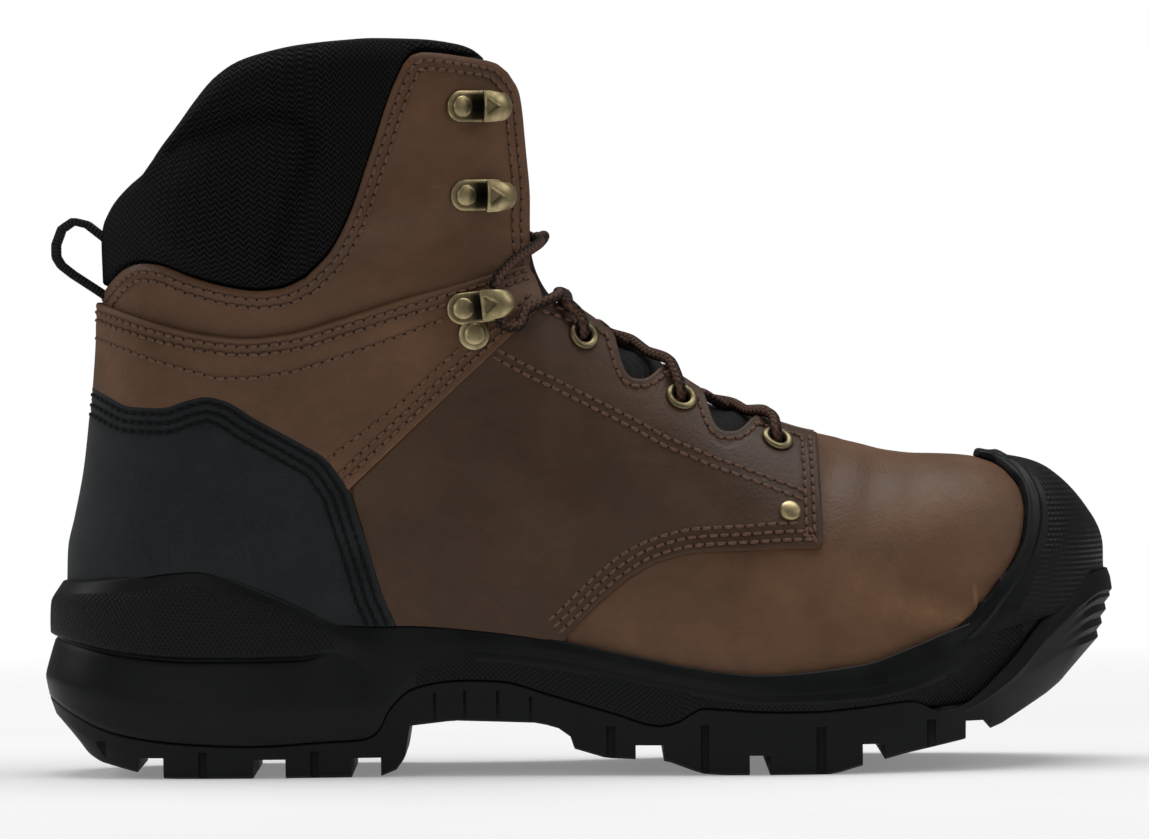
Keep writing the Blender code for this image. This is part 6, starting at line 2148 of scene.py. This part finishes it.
# Floor, light and camera
FRAME_WIDTH = 0.33385
FRAME_MIDDLE = (-0.0009, 0.0, 0.1010)
CAMERA_DISTANCE = 2.6
CAMERA_RISE = 1.0
CAMERA_ROLL = 0.66
WORLD_LIGHT = 0.16
FLOOR_HALF = 1.6
LIGHT_AIM = (0.0, 0.0, 0.09)
SENSOR = 36.0
# Lights: name, place, width and height, power
LIGHTS = (
    ("top_light", (0.05, 0.12, 1.15), (1.4, 0.7), 10.0),
    ("front_light", (-0.6, -1.2, 0.5), (0.9, 0.7), 1.9),
    ("toe_light", (1.0, -0.35, 0.7), (0.6, 0.6), 1.7),
    ("heel_light", (-1.0, 0.2, 0.6), (0.6, 0.5), 2.0),
)


def area_light(name, spot, size, power):
    data = bpy.data.lights.new(name, "AREA")
    data.shape = "RECTANGLE"
    data.size, data.size_y = size
    data.energy = power
    made = linked(name, data)
    made.location = spot
    made.rotation_euler = (Vector(LIGHT_AIM) - Vector(spot)).to_track_quat("-Z", "Y").to_euler()


def build_stage():
    scene = bpy.context.scene
    corners = ((-1, -1, 0), (1, -1, 0), (1, 1, 0), (-1, 1, 0))
    floor = make_object("floor", np.array(corners) * FLOOR_HALF / MM, [(0, 1, 2, 3)], floor_look())
    world = bpy.data.worlds.new("studio")
    world.use_nodes = True
    sky = world.node_tree
    backdrop = sky.nodes["Background"]
    backdrop.inputs["Color"].default_value = (1.0, 1.0, 1.0, 1.0)
    seen = sky.nodes.new("ShaderNodeLightPath").outputs["Is Camera Ray"]
    amount = sky.nodes.new("ShaderNodeMapRange")
    amount.inputs["To Min"].default_value = WORLD_LIGHT
    amount.inputs["To Max"].default_value = 1.0
    sky.links.new(seen, amount.inputs["Value"])
    sky.links.new(amount.outputs["Result"], backdrop.inputs["Strength"])
    scene.world = world
    scene.view_settings.view_transform = "Standard"
    for light in LIGHTS:
        area_light(*light)
    data = bpy.data.cameras.new("camera")
    data.sensor_width = SENSOR
    data.lens = SENSOR * CAMERA_DISTANCE / FRAME_WIDTH
    data.clip_start, data.clip_end = 0.05, 50.0
    camera = linked("camera", data)
    rise = math.radians(CAMERA_RISE)
    aim = Vector(FRAME_MIDDLE)
    camera.location = aim + CAMERA_DISTANCE * Vector((0.0, -math.cos(rise), math.sin(rise)))
    turn = (aim - camera.location).to_track_quat("-Z", "Y").to_matrix().to_4x4()
    camera.rotation_euler = (turn @ Matrix.Rotation(math.radians(-CAMERA_ROLL), 4, "Z")).to_euler()
    scene.camera = camera


def floor_look():
    """Pale floor that thins out into the white backdrop away from the boot."""
    paint = Paint("pale_floor", (0.86, 0.86, 0.86), 0.75)
    paint.shader.inputs["Emission Color"].default_value = (1.0, 1.0, 1.0, 1.0)
    paint.shader.inputs["Emission Strength"].default_value = 0.22
    at = paint.where()
    mottle = paint.noise(at, 6.0, 2.0)
    paint.colour(paint.ramp(mottle, (0.3, (0.84, 0.84, 0.84)), (0.7, (0.88, 0.88, 0.88))))
    away = paint.node("ShaderNodeVectorMath", ((0, at),), operation="LENGTH").outputs["Value"]
    clear = paint.node("ShaderNodeBsdfTransparent").outputs[0]
    far_off = paint.ramp(away, (0.2, 0.0), (0.8, 1.0))
    thinned = paint.node("ShaderNodeMixShader", ((0, far_off), (1, paint.shader.outputs[0]), (2, clear)))
    paint.put(paint.tree.nodes["Material Output"].inputs["Surface"], thinned.outputs[0])
    return paint.material


STEPS = (BuildStage, BuildUpper, BuildPanels, BuildSole, BuildCollar, BuildHardware, BuildLace, BuildStitches)
CLASSES = (BootSizes, BootColours, *STEPS, BootPanel)


def register():
    for one in CLASSES:
        bpy.utils.register_class(one)
    bpy.types.Scene.boot_sizes = PointerProperty(type=BootSizes)
    bpy.types.Scene.boot_colours = PointerProperty(type=BootColours)


def unregister():
    del bpy.types.Scene.boot_sizes
    del bpy.types.Scene.boot_colours
    for one in reversed(CLASSES):
        bpy.utils.unregister_class(one)


def main():
    register()
    for step in STEPS:
        group, name = step.bl_idname.split(".")
        getattr(getattr(bpy.ops, group), name)()


if __name__ == "__main__":
    main()
